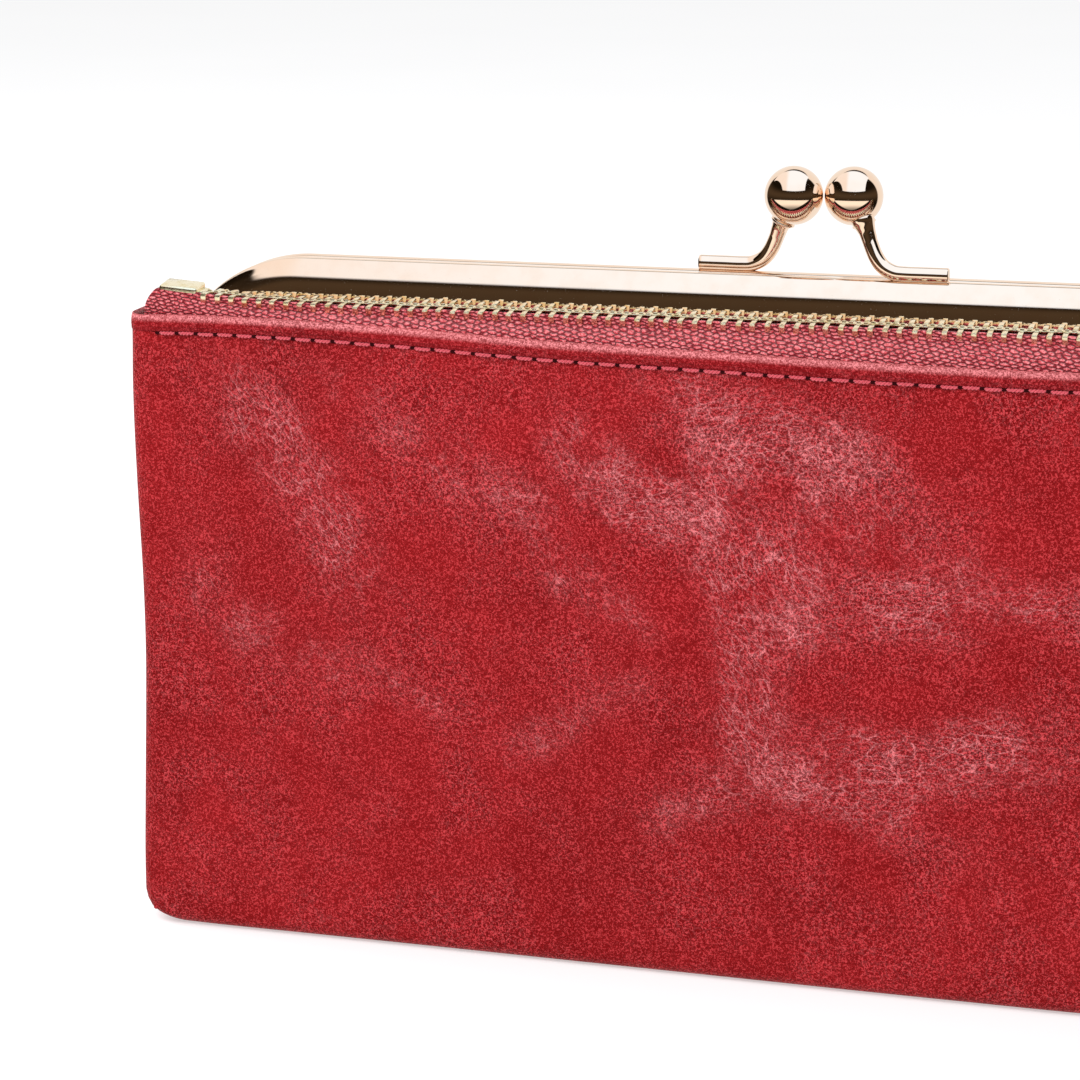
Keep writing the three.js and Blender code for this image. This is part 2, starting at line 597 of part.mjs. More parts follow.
function slider() {
  const tail = SLIDER_LENGTH / 2;
  const plan = polygon([
    [-tail, -SLIDER_HALF + 0.9], [-tail + 1, -SLIDER_HALF], [tail - 2, -SLIDER_HALF], [tail, -1],
    [tail, 1], [tail - 2, SLIDER_HALF], [-tail + 1, SLIDER_HALF], [-tail, SLIDER_HALF - 0.9],
  ]);
  const plate = raised(plan, PLATE_FOOT, PLATE_TOP);
  const flanges = [-1, 1].map((side) => {
    const y = [side * SLIDER_HALF, side * (SLIDER_HALF - SLIDER_FLANGE)].sort((a, b) => a - b);
    return box(-tail + 1, tail - 2, ...y, ZIP_Z + TAPE / 2 + GAP, PLATE_FOOT + 0.2);
  });
  const bridge = cut(
    upright(rectangle(-BRIDGE_HALF, BRIDGE_HALF, PLATE_TOP - 0.2, PLATE_TOP + BRIDGE_OPEN + BRIDGE_BAR),
      -BRIDGE_WIDTH / 2, BRIDGE_WIDTH / 2),
    box(-BRIDGE_HALF + BRIDGE_BAR, BRIDGE_HALF - BRIDGE_BAR, -2, 2, PLATE_TOP, PLATE_TOP + BRIDGE_OPEN));
  add("zip_slider", join(plate, ...flanges, bridge).translate(SLIDER_AT, ZIP_Y, 0), teeth);

  const under = ZIP_Z - CHAIN_THICKNESS / 2 - 0.4;
  const lower = new THREE.Shape(plan.getPoints().map((p) => new THREE.Vector2(p.x, p.y * 0.7)));
  add("zip_slider_plate", raised(lower, under - SLIDER_PLATE, under).translate(SLIDER_AT, ZIP_Y, 0), teeth);

  const armInside = BRIDGE_WIDTH / 2 + RUN;
  const eye = BRIDGE_HALF + BRIDGE_BAR + RUN;
  const blade = new THREE.Shape();
  blade.moveTo(PIN_RADIUS, -PULL_WIDTH / 2);
  blade.lineTo(PIN_RADIUS, PULL_WIDTH / 2);
  blade.lineTo(-PULL_LENGTH + PULL_WIDTH / 2, PULL_WIDTH / 2);
  blade.absarc(-PULL_LENGTH + PULL_WIDTH / 2, 0, PULL_WIDTH / 2, Math.PI / 2, 1.5 * Math.PI, false);
  const half = PULL_THICKNESS / 2;
  const flat = cut(raised(blade, -half, half, 8), box(-eye, 2, -armInside, armInside, -2, 2));
  const pin = new THREE.CylinderGeometry(PIN_RADIUS, PIN_RADIUS, 2 * armInside + 0.6, 10);
  add("zip_pull", join(flat, pin).translate(SLIDER_AT, ZIP_Y, PIVOT_Z), teeth);
}

// ---- Ring tab, ring, snap hook and wrist strap ----

function ringTab() {
  const inside = RING_WIRE + GAP;
  const outside = inside + TAB_LEATHER;
  const s = new THREE.Shape();
  s.moveTo(HALF + GAP, -outside);
  s.absarc(RING_BAR_X, 0, outside, -Math.PI / 2, Math.PI / 2, false);
  s.lineTo(HALF + GAP, outside);
  s.lineTo(HALF + GAP, inside);
  s.absarc(RING_BAR_X, 0, inside, Math.PI / 2, -Math.PI / 2, true);
  s.lineTo(HALF + GAP, -inside);
  const rivetX = HALF + GAP + TAB_RIVET_HEAD_RADIUS + RUN;
  const hole = new THREE.CylinderGeometry(TAB_RIVET_RADIUS, TAB_RIVET_RADIUS, 2 * outside + 2, 12);
  const sheet = raised(s, -TAB_WIDTH / 2, TAB_WIDTH / 2);
  add("ring_tab", cut(sheet, hole.translate(rivetX, 0, 0)).translate(0, RING_Y, RING_Z), leather);
  const pin = TAB_RIVET_RADIUS - GAP;
  const head = TAB_RIVET_HEAD_RADIUS;
  const face = outside + GAP;
  const end = face + TAB_RIVET_HEAD;
  const post = turned([
    [0, -end], [head, -end], [head, -face], [pin, -face], [pin, face], [head, face], [head, end], [0, end],
  ], 12);
  add("ring_tab_rivet", post.translate(rivetX, RING_Y, RING_Z), gold);
}

// A ring with a straight upright bar, split at the middle of the bar as bent wire rings are.
function ring() {
  const x0 = RING_BAR_X;
  const x1 = RING_BAR_X + RING_STRAIGHT;
  const at = (x, z) => new THREE.Vector3(x, RING_Y, RING_Z + z);
  const turn = RING_BEND;
  const path = new THREE.CurvePath();
  const line = (a, b) => path.add(new THREE.LineCurve3(a, b));
  const bend = (a, c, b) => path.add(new THREE.QuadraticBezierCurve3(a, c, b));
  line(at(x0, -GAP / 2), at(x0, -RING_HALF + turn));
  bend(at(x0, -RING_HALF + turn), at(x0, -RING_HALF), at(x0 + turn, -RING_HALF));
  line(at(x0 + turn, -RING_HALF), at(x1, -RING_HALF));
  const round = spaced(-Math.PI / 2, Math.PI / 2, 8).map((a) => at(x1 + RING_HALF * Math.cos(a), RING_HALF * Math.sin(a)));
  path.add(new THREE.CatmullRomCurve3(round));
  line(at(x1, RING_HALF), at(x0 + turn, RING_HALF));
  bend(at(x0 + turn, RING_HALF), at(x0, RING_HALF), at(x0, RING_HALF - turn));
  line(at(x0, RING_HALF - turn), at(x0, GAP / 2));
  add("d_ring", wire(path, RING_WIRE, 48, 8), gold);
}

const WIRE_Z = RING_Z - RING_HALF; // the level wire that the hook hangs on
const HOOK_TOP = WIRE_Z + RING_WIRE + GAP + HOOK_WIRE;
const HOOK_FOOT = HOOK_TOP - HOOK_LOOP;
const BARREL_TOP = HOOK_FOOT - HOOK_WIRE + 0.5;
const BARREL_FOOT = BARREL_TOP - BARREL_LENGTH;
const GATE_Z = HOOK_FOOT + HOOK_HALF; // where the gate is hinged
const EYE_TOP = BARREL_FOOT - 2 * GAP - EYE_WIRE;
const EYE_BAR = EYE_TOP - EYE_HEIGHT;

function hook() {
  const at = (y, z) => new THREE.Vector3(HOOK_X, RING_Y + y, z);
  const r = HOOK_HALF;
  const arc = (z, from, to, n) => spaced(from, to, n).map((a) => at(r * Math.cos(a), z + r * Math.sin(a)));
  const gateTop = GATE_Z + GATE_LENGTH;
  const points = [
    at(r, gateTop + GAP), ...arc(HOOK_TOP - r, Math.asin(0), Math.PI, 8).slice(1),
    ...arc(HOOK_FOOT + r, Math.PI, 1.5 * Math.PI + 1.1, 6),
  ];
  const loop = wire(new THREE.CatmullRomCurve3(points, false, "centripetal"), HOOK_WIRE, 30, 8);
  const barrel = new THREE.CylinderGeometry(BARREL_RADIUS, BARREL_RADIUS, BARREL_LENGTH, 14)
    .rotateX(Math.PI / 2).translate(HOOK_X, RING_Y, BARREL_FOOT + BARREL_LENGTH / 2);
  const bore = new THREE.CylinderGeometry(STEM_RADIUS + GAP, STEM_RADIUS + GAP, BARREL_LENGTH, 12)
    .rotateX(Math.PI / 2).translate(HOOK_X, RING_Y, BARREL_FOOT + BARREL_LENGTH / 2 - STEM_HELD);
  add("hook_body", cut(join(loop, barrel), bore), gold);

  const gate = new THREE.CylinderGeometry(HOOK_WIRE - 0.1, HOOK_WIRE - 0.1, GATE_LENGTH - 0.6, 10);
  gate.rotateX(Math.PI / 2).translate(HOOK_X, RING_Y + r, GATE_Z + GATE_LENGTH / 2 + 0.1);
  add("hook_gate", gate, gold);
}

function eye() {
  const half = STRAP_WIDTH / 2 + GAP + EYE_WIRE;
  const frame = cut(
    upright(rectangle(-half - EYE_WIRE, half + EYE_WIRE, EYE_BAR - EYE_WIRE, EYE_TOP + EYE_WIRE), -EYE_WIRE, EYE_WIRE),
    upright(rectangle(-half + EYE_WIRE, half - EYE_WIRE, EYE_BAR + EYE_WIRE, EYE_TOP - EYE_WIRE), -2, 2));
  frame.rotateZ(Math.PI / 2);
  const stemTop = BARREL_TOP - STEM_HELD - GAP;
  const stem = new THREE.CylinderGeometry(STEM_RADIUS, STEM_RADIUS, stemTop - EYE_TOP, 12)
    .rotateX(Math.PI / 2).translate(0, 0, (stemTop + EYE_TOP) / 2);
  add("swivel_eye", join(frame, stem).translate(HOOK_X, RING_Y, 0), gold);
}

// The strap is one strip: folded round the eye, held together at the neck, then a loop that
// hangs down and lies out along the surface that the wallet stands on.
function strap() {
  const t = STRAP_LEATHER;
  const foldInside = EYE_WIRE * Math.SQRT2 + GAP; // the fold clears the corners of the eye's bar
  const fold = foldInside + t;
  const neckZ = EYE_BAR - STRAP_NECK;
  const x = HOOK_X;
  const tip = x + STRAP_RUN;
  const endR = STRAP_OPEN / 2 + t;
  const outline = new THREE.Shape();
  outline.absarc(x, EYE_BAR, fold, 0, Math.PI, false);
  outline.lineTo(x - t - PLY_GAP, EYE_BAR - fold - 2);
  outline.lineTo(x - t - PLY_GAP, neckZ);
  outline.bezierCurveTo(x - t, neckZ * 0.45, x + 1, 0, x + 20, 0);
  outline.lineTo(tip - endR, 0);
  outline.absarc(tip - endR, endR, endR, -Math.PI / 2, Math.PI / 2, false);
  outline.lineTo(x + 34, 2 * endR);
  outline.bezierCurveTo(x + 14, 2 * endR, x + t + 3, neckZ * 0.6, x + t + PLY_GAP, neckZ);
  outline.lineTo(x + t + PLY_GAP, EYE_BAR - fold - 2);
  outline.lineTo(x + fold, EYE_BAR);

  const loop = new THREE.Path();
  loop.moveTo(x + 0.1, neckZ - 4);
  loop.bezierCurveTo(x + 2, neckZ * 0.45, x + 4, t, x + 20, t);
  loop.lineTo(tip - endR, t);
  loop.absarc(tip - endR, endR, endR - t, -Math.PI / 2, Math.PI / 2, false);
  loop.lineTo(x + 33, 2 * endR - t);
  loop.bezierCurveTo(x + 11, 2 * endR - t, x + 4.2, neckZ * 0.55, x + 0.5, neckZ - 4);
  outline.holes.push(loop);

  const bar = new THREE.Path();
  bar.absarc(x, EYE_BAR, foldInside, 0, Math.PI, false);
  bar.lineTo(x, EYE_BAR - fold - 1);
  outline.holes.push(bar);
  const half = STRAP_WIDTH / 2;
  add("wrist_strap", upright(outline, RING_Y - half, RING_Y + half, 10), leather);

  const inX = t + PLY_GAP + GAP;
  const inY = half + GAP;
  const outX = inX + KEEPER_WALL;
  const outY = inY + KEEPER_WALL;
  const foot = neckZ + 1;
  const keeper = cut(
    box(x - outX, x + outX, RING_Y - outY, RING_Y + outY, foot, foot + KEEPER_HEIGHT),
    box(x - inX, x + inX, RING_Y - inY, RING_Y + inY, foot - 1, foot + KEEPER_HEIGHT + 1));
  add("strap_keeper", keeper, leather);
}

shell();
upperBack();
inside();
claspFrame();
zip();
slider();
ringTab();
ring();
hook();
eye();
strap();

export default group;
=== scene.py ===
"""A red leather wristlet wallet with a zipped pocket and a ball-clasp frame, dressed over its CAD frame.

Shapes are worked out in millimetres, in the frame's own axes: +X to the right, -Y to the front, +Z up.
"""
import math

import bmesh
import bpy
import numpy as np
from mathutils import Matrix, Vector, noise


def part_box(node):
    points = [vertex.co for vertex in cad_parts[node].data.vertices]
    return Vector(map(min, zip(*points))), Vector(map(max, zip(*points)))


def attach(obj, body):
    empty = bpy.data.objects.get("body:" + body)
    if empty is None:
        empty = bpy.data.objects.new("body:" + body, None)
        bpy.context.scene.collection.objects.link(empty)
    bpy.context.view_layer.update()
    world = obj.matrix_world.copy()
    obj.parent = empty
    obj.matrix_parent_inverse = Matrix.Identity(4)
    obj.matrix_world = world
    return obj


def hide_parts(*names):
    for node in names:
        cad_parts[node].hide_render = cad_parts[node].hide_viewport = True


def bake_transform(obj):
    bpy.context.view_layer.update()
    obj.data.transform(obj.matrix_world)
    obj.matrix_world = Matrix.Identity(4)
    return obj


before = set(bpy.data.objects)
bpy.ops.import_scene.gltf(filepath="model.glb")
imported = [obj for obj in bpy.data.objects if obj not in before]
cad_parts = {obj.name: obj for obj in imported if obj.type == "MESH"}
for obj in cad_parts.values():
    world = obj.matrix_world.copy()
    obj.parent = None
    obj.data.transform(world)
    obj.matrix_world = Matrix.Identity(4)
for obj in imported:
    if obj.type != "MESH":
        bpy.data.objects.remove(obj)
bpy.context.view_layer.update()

MM = 0.001


def span(node):
    """Lowest and highest corner of a CAD node, in millimetres."""
    low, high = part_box(node)
    return np.array(low) / MM, np.array(high) / MM


# ---- Places taken from the CAD frame ----

PANEL, HEM, FRAME = span("front_panel"), span("front_hem"), span("front_frame")
HALF = PANEL[1][0]
HEM_RAISED = 1.0  # the sewn hem's foot stands this much higher than the plain one's
HEM_FOOT, HEM_TOP = HEM[0][2] + HEM_RAISED, HEM[1][2]
FRAME_HALF, FRAME_TOP = FRAME[1][0], FRAME[1][2]
FRAME_FRONT = FRAME[0][1]
BACK_MID = span("back_panel_lower")[1][1]
BALLS = {side: span(f"clasp_ball_{side}") for side in ("left", "right")}
BALL_RADIUS = (BALLS["left"][1] - BALLS["left"][0])[0] / 2
CHAIN = span("zip_teeth_front")
CHAIN_TOP = CHAIN[1][2]
CHAIN_MID = (CHAIN[0][2] + CHAIN[1][2]) / 2
STOP = span("zip_bottom_stop")
ZIP_Y = (STOP[0][1] + STOP[1][1]) / 2
SLIDER = span("zip_slider")
SLIDER_AT = (SLIDER[0][0] + SLIDER[1][0]) / 2
PULL = span("zip_pull")
RING = span("d_ring")
HOOK, GATE, EYE = span("hook_body"), span("hook_gate"), span("swivel_eye")
TAB, STRAP, KEEPER = span("ring_tab"), span("wrist_strap"), span("strap_keeper")
DIVIDER = span("divider_wall")
HINGE = {side: span(f"hinge_rivet_{side}") for side in ("left", "right")}
HINGE_Z = (HINGE["left"][0][2] + HINGE["left"][1][2]) / 2

# ---- Sizes that the finishing adds ----

LEATHER = 1.5  # thickness of the shell leather
CLOTH = 0.5  # and of the lining cloth
SIDE_CORNER = 4  # where the front and rear turn into the sides
SEAM_EDGE = 3.2  # half the width of the open seam down each side
BASE_CORNER = 5  # lower corners, seen from the front
BASE_ROLL = 2.6  # roll of the leather under the base
CHAIN_RISE = 1.6  # the zip's last stretch at its closed end
CHAIN_RISE_FROM = -72
FRONT_END, FRONT_MID = 12.4, 16.5
BACK_END = 11
TOOTH_PITCH = 2.1
FRAME_CORNER = 21
FRAME_FACE = 7.6
STITCH = 3.05  # from hole to hole
THREAD = 0.16  # radius of one ply
BEND = (45, 66)  # the rear leather and its lining bend between these heights when the frame opens; the script passes them on but builds no bend from them
TUCK = 2.8  # how far the leather goes into the frame's channel
TUCKED_BACK = -DIVIDER[0][1]  # outer face of the rear leather where it is tucked in the channel
FIRST_LEVEL = 3.2  # the lowest level above the base's roll


# ---- Mesh work, in millimetres ----

def unit(v):
    v = np.asarray(v, float)
    return v / np.maximum(np.linalg.norm(v, axis=-1, keepdims=True), 1e-9)


def smooth_step(value, low, high):
    t = np.clip((value - low) / (high - low), 0, 1)
    return t * t * (3 - 2 * t)


def through(stops):
    """A smooth function of one number through (place, value) stops."""
    xs, ys = np.array(stops, float).T
    slopes = np.gradient(ys, xs)

    def value(x):
        x = np.clip(x, xs[0], xs[-1])
        i = np.clip(np.searchsorted(xs, x) - 1, 0, len(xs) - 2)
        h = xs[i + 1] - xs[i]
        t = (x - xs[i]) / h
        start = (1 + 2 * t) * (1 - t) ** 2 * ys[i] + t * (1 - t) ** 2 * h * slopes[i]
        return start + t * t * (3 - 2 * t) * ys[i + 1] + t * t * (t - 1) * h * slopes[i + 1]

    return value


def rounded_path(points, steps=8, closed=False):
    """A smooth line through points, by Catmull-Rom spans."""
    p = np.array(points, float)
    p = np.vstack([p[-1], p, p[0], p[1]]) if closed else np.vstack([2 * p[0] - p[1], p, 2 * p[-1] - p[-2]])
    made = []
    for a, b, c, d in zip(p, p[1:], p[2:], p[3:]):
        for t in np.arange(steps) / steps:
            made.append(0.5 * (2 * b + (c - a) * t + (2 * a - 5 * b + 4 * c - d) * t ** 2
                               + (3 * b - a - 3 * c + d) * t ** 3))
    return np.array(made if closed else [*made, p[-2]])


def arc(centre, radius, start, stop, steps):
    """Points of an arc in its own plane; angles in degrees."""
    angles = np.radians(np.linspace(start, stop, steps + 1))
    return [(centre[0] + radius * math.cos(a), centre[1] + radius * math.sin(a)) for a in angles]


def oblong(left, right, foot, top, r, steps):
    """A rounded oblong's outline, from its right side round by the top."""
    return [*arc((right - r, top - r), r, 0, 90, steps), *arc((left + r, top - r), r, 90, 180, steps),
            *arc((left + r, foot + r), r, 180, 270, steps), *arc((right - r, foot + r), r, -90, 0, steps)]


class Shells:
    """Closed shells that together make one piece."""

    def __init__(self):
        self.points, self.faces = [], []

    def add(self, made):
        points, faces = made
        first = len(self.points)
        self.points.extend(np.asarray(points, float).tolist())
        self.faces.extend([tuple(first + i for i in face) for face in faces])
        return self


def moved(made, shift=(0, 0, 0), turn=None):
    """A copy of some points and faces, turned and then shifted."""
    points, faces = made
    points = np.asarray(points, float)
    if turn is not None:
        points = points @ np.array(turn.to_3x3()).T
    return points + np.array(shift, float), faces


def turn_about(axis, degrees):
    return Matrix.Rotation(math.radians(degrees), 3, axis)


def skin(rows, around=True, capped=True):
    """Faces over rows of points; around joins each row's last point to its first."""
    rows = np.asarray(rows, float)
    m, n = rows.shape[:2]
    faces = []
    for i in range(m - 1):
        for k in range(n if around else n - 1):
            a, b = i * n + k, i * n + (k + 1) % n
            faces.append((a, b, b + n, a + n))
    if capped:
        faces.append(tuple(range(n))[::-1])
        faces.append(tuple((m - 1) * n + k for k in range(n)))
    return rows.reshape(-1, 3), faces


def leaf(outer, thickness, edge=0.35):
    """A sheet of the given thickness under a lattice of surface points, with rounded edges."""
    outer = np.asarray(outer, float)
    m, n = outer.shape[:2]
    across, up = np.gradient(outer, axis=1), np.gradient(outer, axis=0)
    normal = unit(np.cross(across, up))
    inner = outer - normal * thickness
    rim = [(0, k) for k in range(n)] + [(i, n - 1) for i in range(1, m)]
    rim += [(m - 1, k) for k in range(n - 2, -1, -1)] + [(i, 0) for i in range(m - 2, 0, -1)]
    out = []
    for i, k in rim:
        way = np.zeros(3)
        if i in (0, m - 1):
            way += unit(up[i, k]) * (-1 if i == 0 else 1)
        if k in (0, n - 1):
            way += unit(across[i, k]) * (-1 if k == 0 else 1)
        out.append(unit(way))
    out = np.array(out)
    edge_top = np.array([outer[i, k] for i, k in rim])
    edge_foot = np.array([inner[i, k] for i, k in rim])
    rings = []
    for angle in (45, 90, 135):
        a = math.radians(angle)
        middle = (edge_top + edge_foot) / 2
        rings.append(middle + (edge_top - middle) * math.cos(a) + out * edge * thickness * math.sin(a))
    index = lambda i, k: i * n + k
    quads = [(index(i, k), index(i, k + 1), index(i + 1, k + 1), index(i + 1, k))
             for i in range(m - 1) for k in range(n - 1)]
    faces = quads + [tuple(m * n + q for q in quad[::-1]) for quad in quads]
    count, first = len(rim), 2 * m * n
    loops = [[index(i, k) for i, k in rim]]
    loops += [[first + r * count + j for j in range(count)] for r in range(3)]
    loops += [[m * n + index(i, k) for i, k in rim]]
    for a, b in zip(loops, loops[1:]):
        for j in range(count):
            after = (j + 1) % count
            faces.append((a[j], b[j], b[after], a[after]))
    return np.vstack([outer.reshape(-1, 3), inner.reshape(-1, 3), *rings]), faces


def tube(path, radius, sides=16, closed=False, rounded=0.0):
    """A bar along a path. radius is one number or one for each point; rounded eases its cut ends."""
    path = np.asarray(path, float)
    radii = np.broadcast_to(np.asarray(radius, float), (len(path),)).copy()
    if closed:
        way = unit(np.roll(path, -1, 0) - np.roll(path, 1, 0))
    else:
        way = unit(np.gradient(path, axis=0))
    if rounded and not closed:
        first, last = path[0] - way[0] * rounded, path[-1] + way[-1] * rounded
        ease = rounded * 0.3
        path = np.vstack([first, first + way[0] * ease, path, last - way[-1] * ease, last])
        way = np.vstack([way[0], way[0], way, way[-1], way[-1]])
        start, stop = [radii[0] - rounded, radii[0] - ease], [radii[-1] - ease, radii[-1] - rounded]
        radii = np.concatenate([start, radii, stop])
    side = unit(np.cross(way[0], (0, 0, 1) if abs(way[0][2]) < 0.9 else (0, 1, 0)))
    rows = []
    for point, direction, r in zip(path, way, radii):
        side = unit(side - direction * (side @ direction))
        other = np.cross(direction, side)
        angles = 2 * math.pi * np.arange(sides) / sides
        rows.append(point + r * (np.outer(np.cos(angles), side) + np.outer(np.sin(angles), other)))
    points, faces = skin(rows, around=True, capped=not closed)
    if closed:
        last = (len(rows) - 1) * sides
        faces += [(last + k, last + (k + 1) % sides, (k + 1) % sides, k) for k in range(sides)]
    return points, faces


def from_bmesh(made):
    points = np.array([v.co for v in made.verts])
    faces = [tuple(v.index for v in f.verts) for f in made.faces]
    made.free()
    return points, faces


def block(low, high, bevel=0.2, segments=2):
    """A box with eased edges."""
    low, high = np.array(low, float), np.array(high, float)
    made = bmesh.new()
    bmesh.ops.create_cube(made, size=1)
    for v in made.verts:
        v.co = Vector((low + high) / 2 + np.array(v.co) * (high - low))
    bmesh.ops.bevel(made, geom=made.edges[:], offset=bevel, segments=segments, affect="EDGES", profile=0.5)
    made.verts.index_update()
    return from_bmesh(made)


def turned(profile, sides=32):
    """A turned part about Z, from (radius, height) points, both ends on the axis."""
    made = bmesh.new()
    rings = []
    for r, h in profile:
        if r < 1e-6:
            rings.append([made.verts.new((0, 0, h))])
        else:
            angles = [2 * math.pi * k / sides for k in range(sides)]
            rings.append([made.verts.new((r * math.cos(a), r * math.sin(a), h)) for a in angles])
    for a, b in zip(rings, rings[1:]):
        for k in range(sides):
            corners = [a[k % len(a)], a[(k + 1) % len(a)], b[(k + 1) % len(b)], b[k % len(b)]]
            corners = list(dict.fromkeys(corners))
            if len(corners) > 2:
                made.faces.new(corners)
    made.verts.index_update()
    return from_bmesh(made)


def plate(loops, thickness, bevel=0.15):
    """A flat part cut to an outline with holes, lying in XY about z = 0, with eased edges."""
    line = bpy.data.curves.new("cut", "CURVE")
    line.dimensions = "2D"
    line.fill_mode = "BOTH"
    line.extrude = thickness / 2 - bevel
    line.bevel_depth = bevel
    line.bevel_resolution = 1
    line.offset = -bevel
    for loop in loops:
        spline = line.splines.new("POLY")
        spline.points.add(len(loop) - 1)
        for point, (x, y) in zip(spline.points, loop):
            point.co = (x, y, 0, 1)
        spline.use_cyclic_u = True
    cut = bpy.data.objects.new("cut", line)
    bpy.context.collection.objects.link(cut)
    bpy.context.view_layer.update()
    mesh = bpy.data.meshes.new_from_object(cut)
    made = bmesh.new()
    made.from_mesh(mesh)
    bmesh.ops.remove_doubles(made, verts=made.verts[:], dist=1e-4)
    made.verts.index_update()
    bpy.data.objects.remove(cut)
    bpy.data.curves.remove(line)
    bpy.data.meshes.remove(mesh)
    return from_bmesh(made)


UPRIGHT = Matrix(((1, 0, 0), (0, 0, -1), (0, 1, 0)))  # lays an outline's (x, y) onto the front's (x, z)
SIDEWAYS = Matrix(((0, 0, 1), (1, 0, 0), (0, 1, 0)))  # and onto the side's (y, z)


def piece(name, shells, finish, body="root", stands_for=(), slot=None, bends=None, crisp=40, fields=None):
    """Makes a named object from shells, gives it its finish, and lets it ride on its body, or, for a piece
    given bends, bakes it in place.

    It looks up a slot in SLOT_OF, unless the caller names one, but does not give it to the object.
    """
    mesh = bpy.data.meshes.new(name)
    points = np.array(shells.points)
    mesh.from_pydata((points * MM).tolist(), [], shells.faces)
    tidy = bmesh.new()
    tidy.from_mesh(mesh)
    bmesh.ops.recalc_face_normals(tidy, faces=tidy.faces[:])
    tidy.to_mesh(mesh)
    tidy.free()
    mesh.polygons.foreach_set("use_smooth", [True] * len(mesh.polygons))
    mesh.set_sharp_from_angle(angle=math.radians(crisp))
    for field, value in (fields or {}).items():
        carried = mesh.attributes.new(field, "FLOAT", "POINT")
        carried.data.foreach_set("value", value(points).astype(np.float32))
    mesh.materials.append(finish)
    made = bpy.data.objects.new(name, mesh)
    bpy.context.collection.objects.link(made)
    if bends:
        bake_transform(made)
    else:
        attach(made, body)
    slot = slot or SLOT_OF[finish]
    if stands_for:
        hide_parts(*stands_for)
    return made


# ---- Camera place ----

VIEW_TURN, VIEW_DROP = 15.2, 12.0  # degrees round from the front, and down
VIEW_FROM = (0.1166, -0.5828, 0.1887)


# ---- Finishes ----

class Wire:
    """A shader socket that plain arithmetic works on."""

    def __init__(self, finish, socket):
        self.finish, self.socket = finish, socket

    def math(self, operation, *others, first=None):
        values = [self if first is None else first, *others]
        return self.finish.node("ShaderNodeMath", {"operation": operation}, dict(enumerate(values)))

    def __add__(self, other):
        return self.math("ADD", other)

    def __sub__(self, other):
        return self.math("SUBTRACT", other)

    def __rsub__(self, other):
        return self.math("SUBTRACT", self, first=other)

    def __mul__(self, other):
        return self.math("MULTIPLY", other)

    def __truediv__(self, other):
        return self.math("DIVIDE", other)

    __radd__, __rmul__ = __add__, __mul__

    def size(self):
        return self.math("ABSOLUTE")

    def part(self):
        return self.math("FRACT")

    def floor(self):
        return self.math("FLOOR")

    def least(self, other):
        return self.math("MINIMUM", other)

    def most(self, other):
        return self.math("MAXIMUM", other)

    def ramp(self, low, high, start=0.0, stop=1.0):
        """start below low, stop above high, and a smooth turn between."""
        sockets = {0: self, 1: low, 2: high, 3: start, 4: stop}
        return self.finish.node("ShaderNodeMapRange", {"interpolation_type": "SMOOTHSTEP"}, sockets)


def colour(red, green, blue):
    """A colour as seen on a screen, 0 to 255, as the shader's linear one."""
    shares = (red / 255, green / 255, blue / 255)
    return (*(c / 12.92 if c <= 0.04045 else ((c + 0.055) / 1.055) ** 2.4 for c in shares), 1.0)


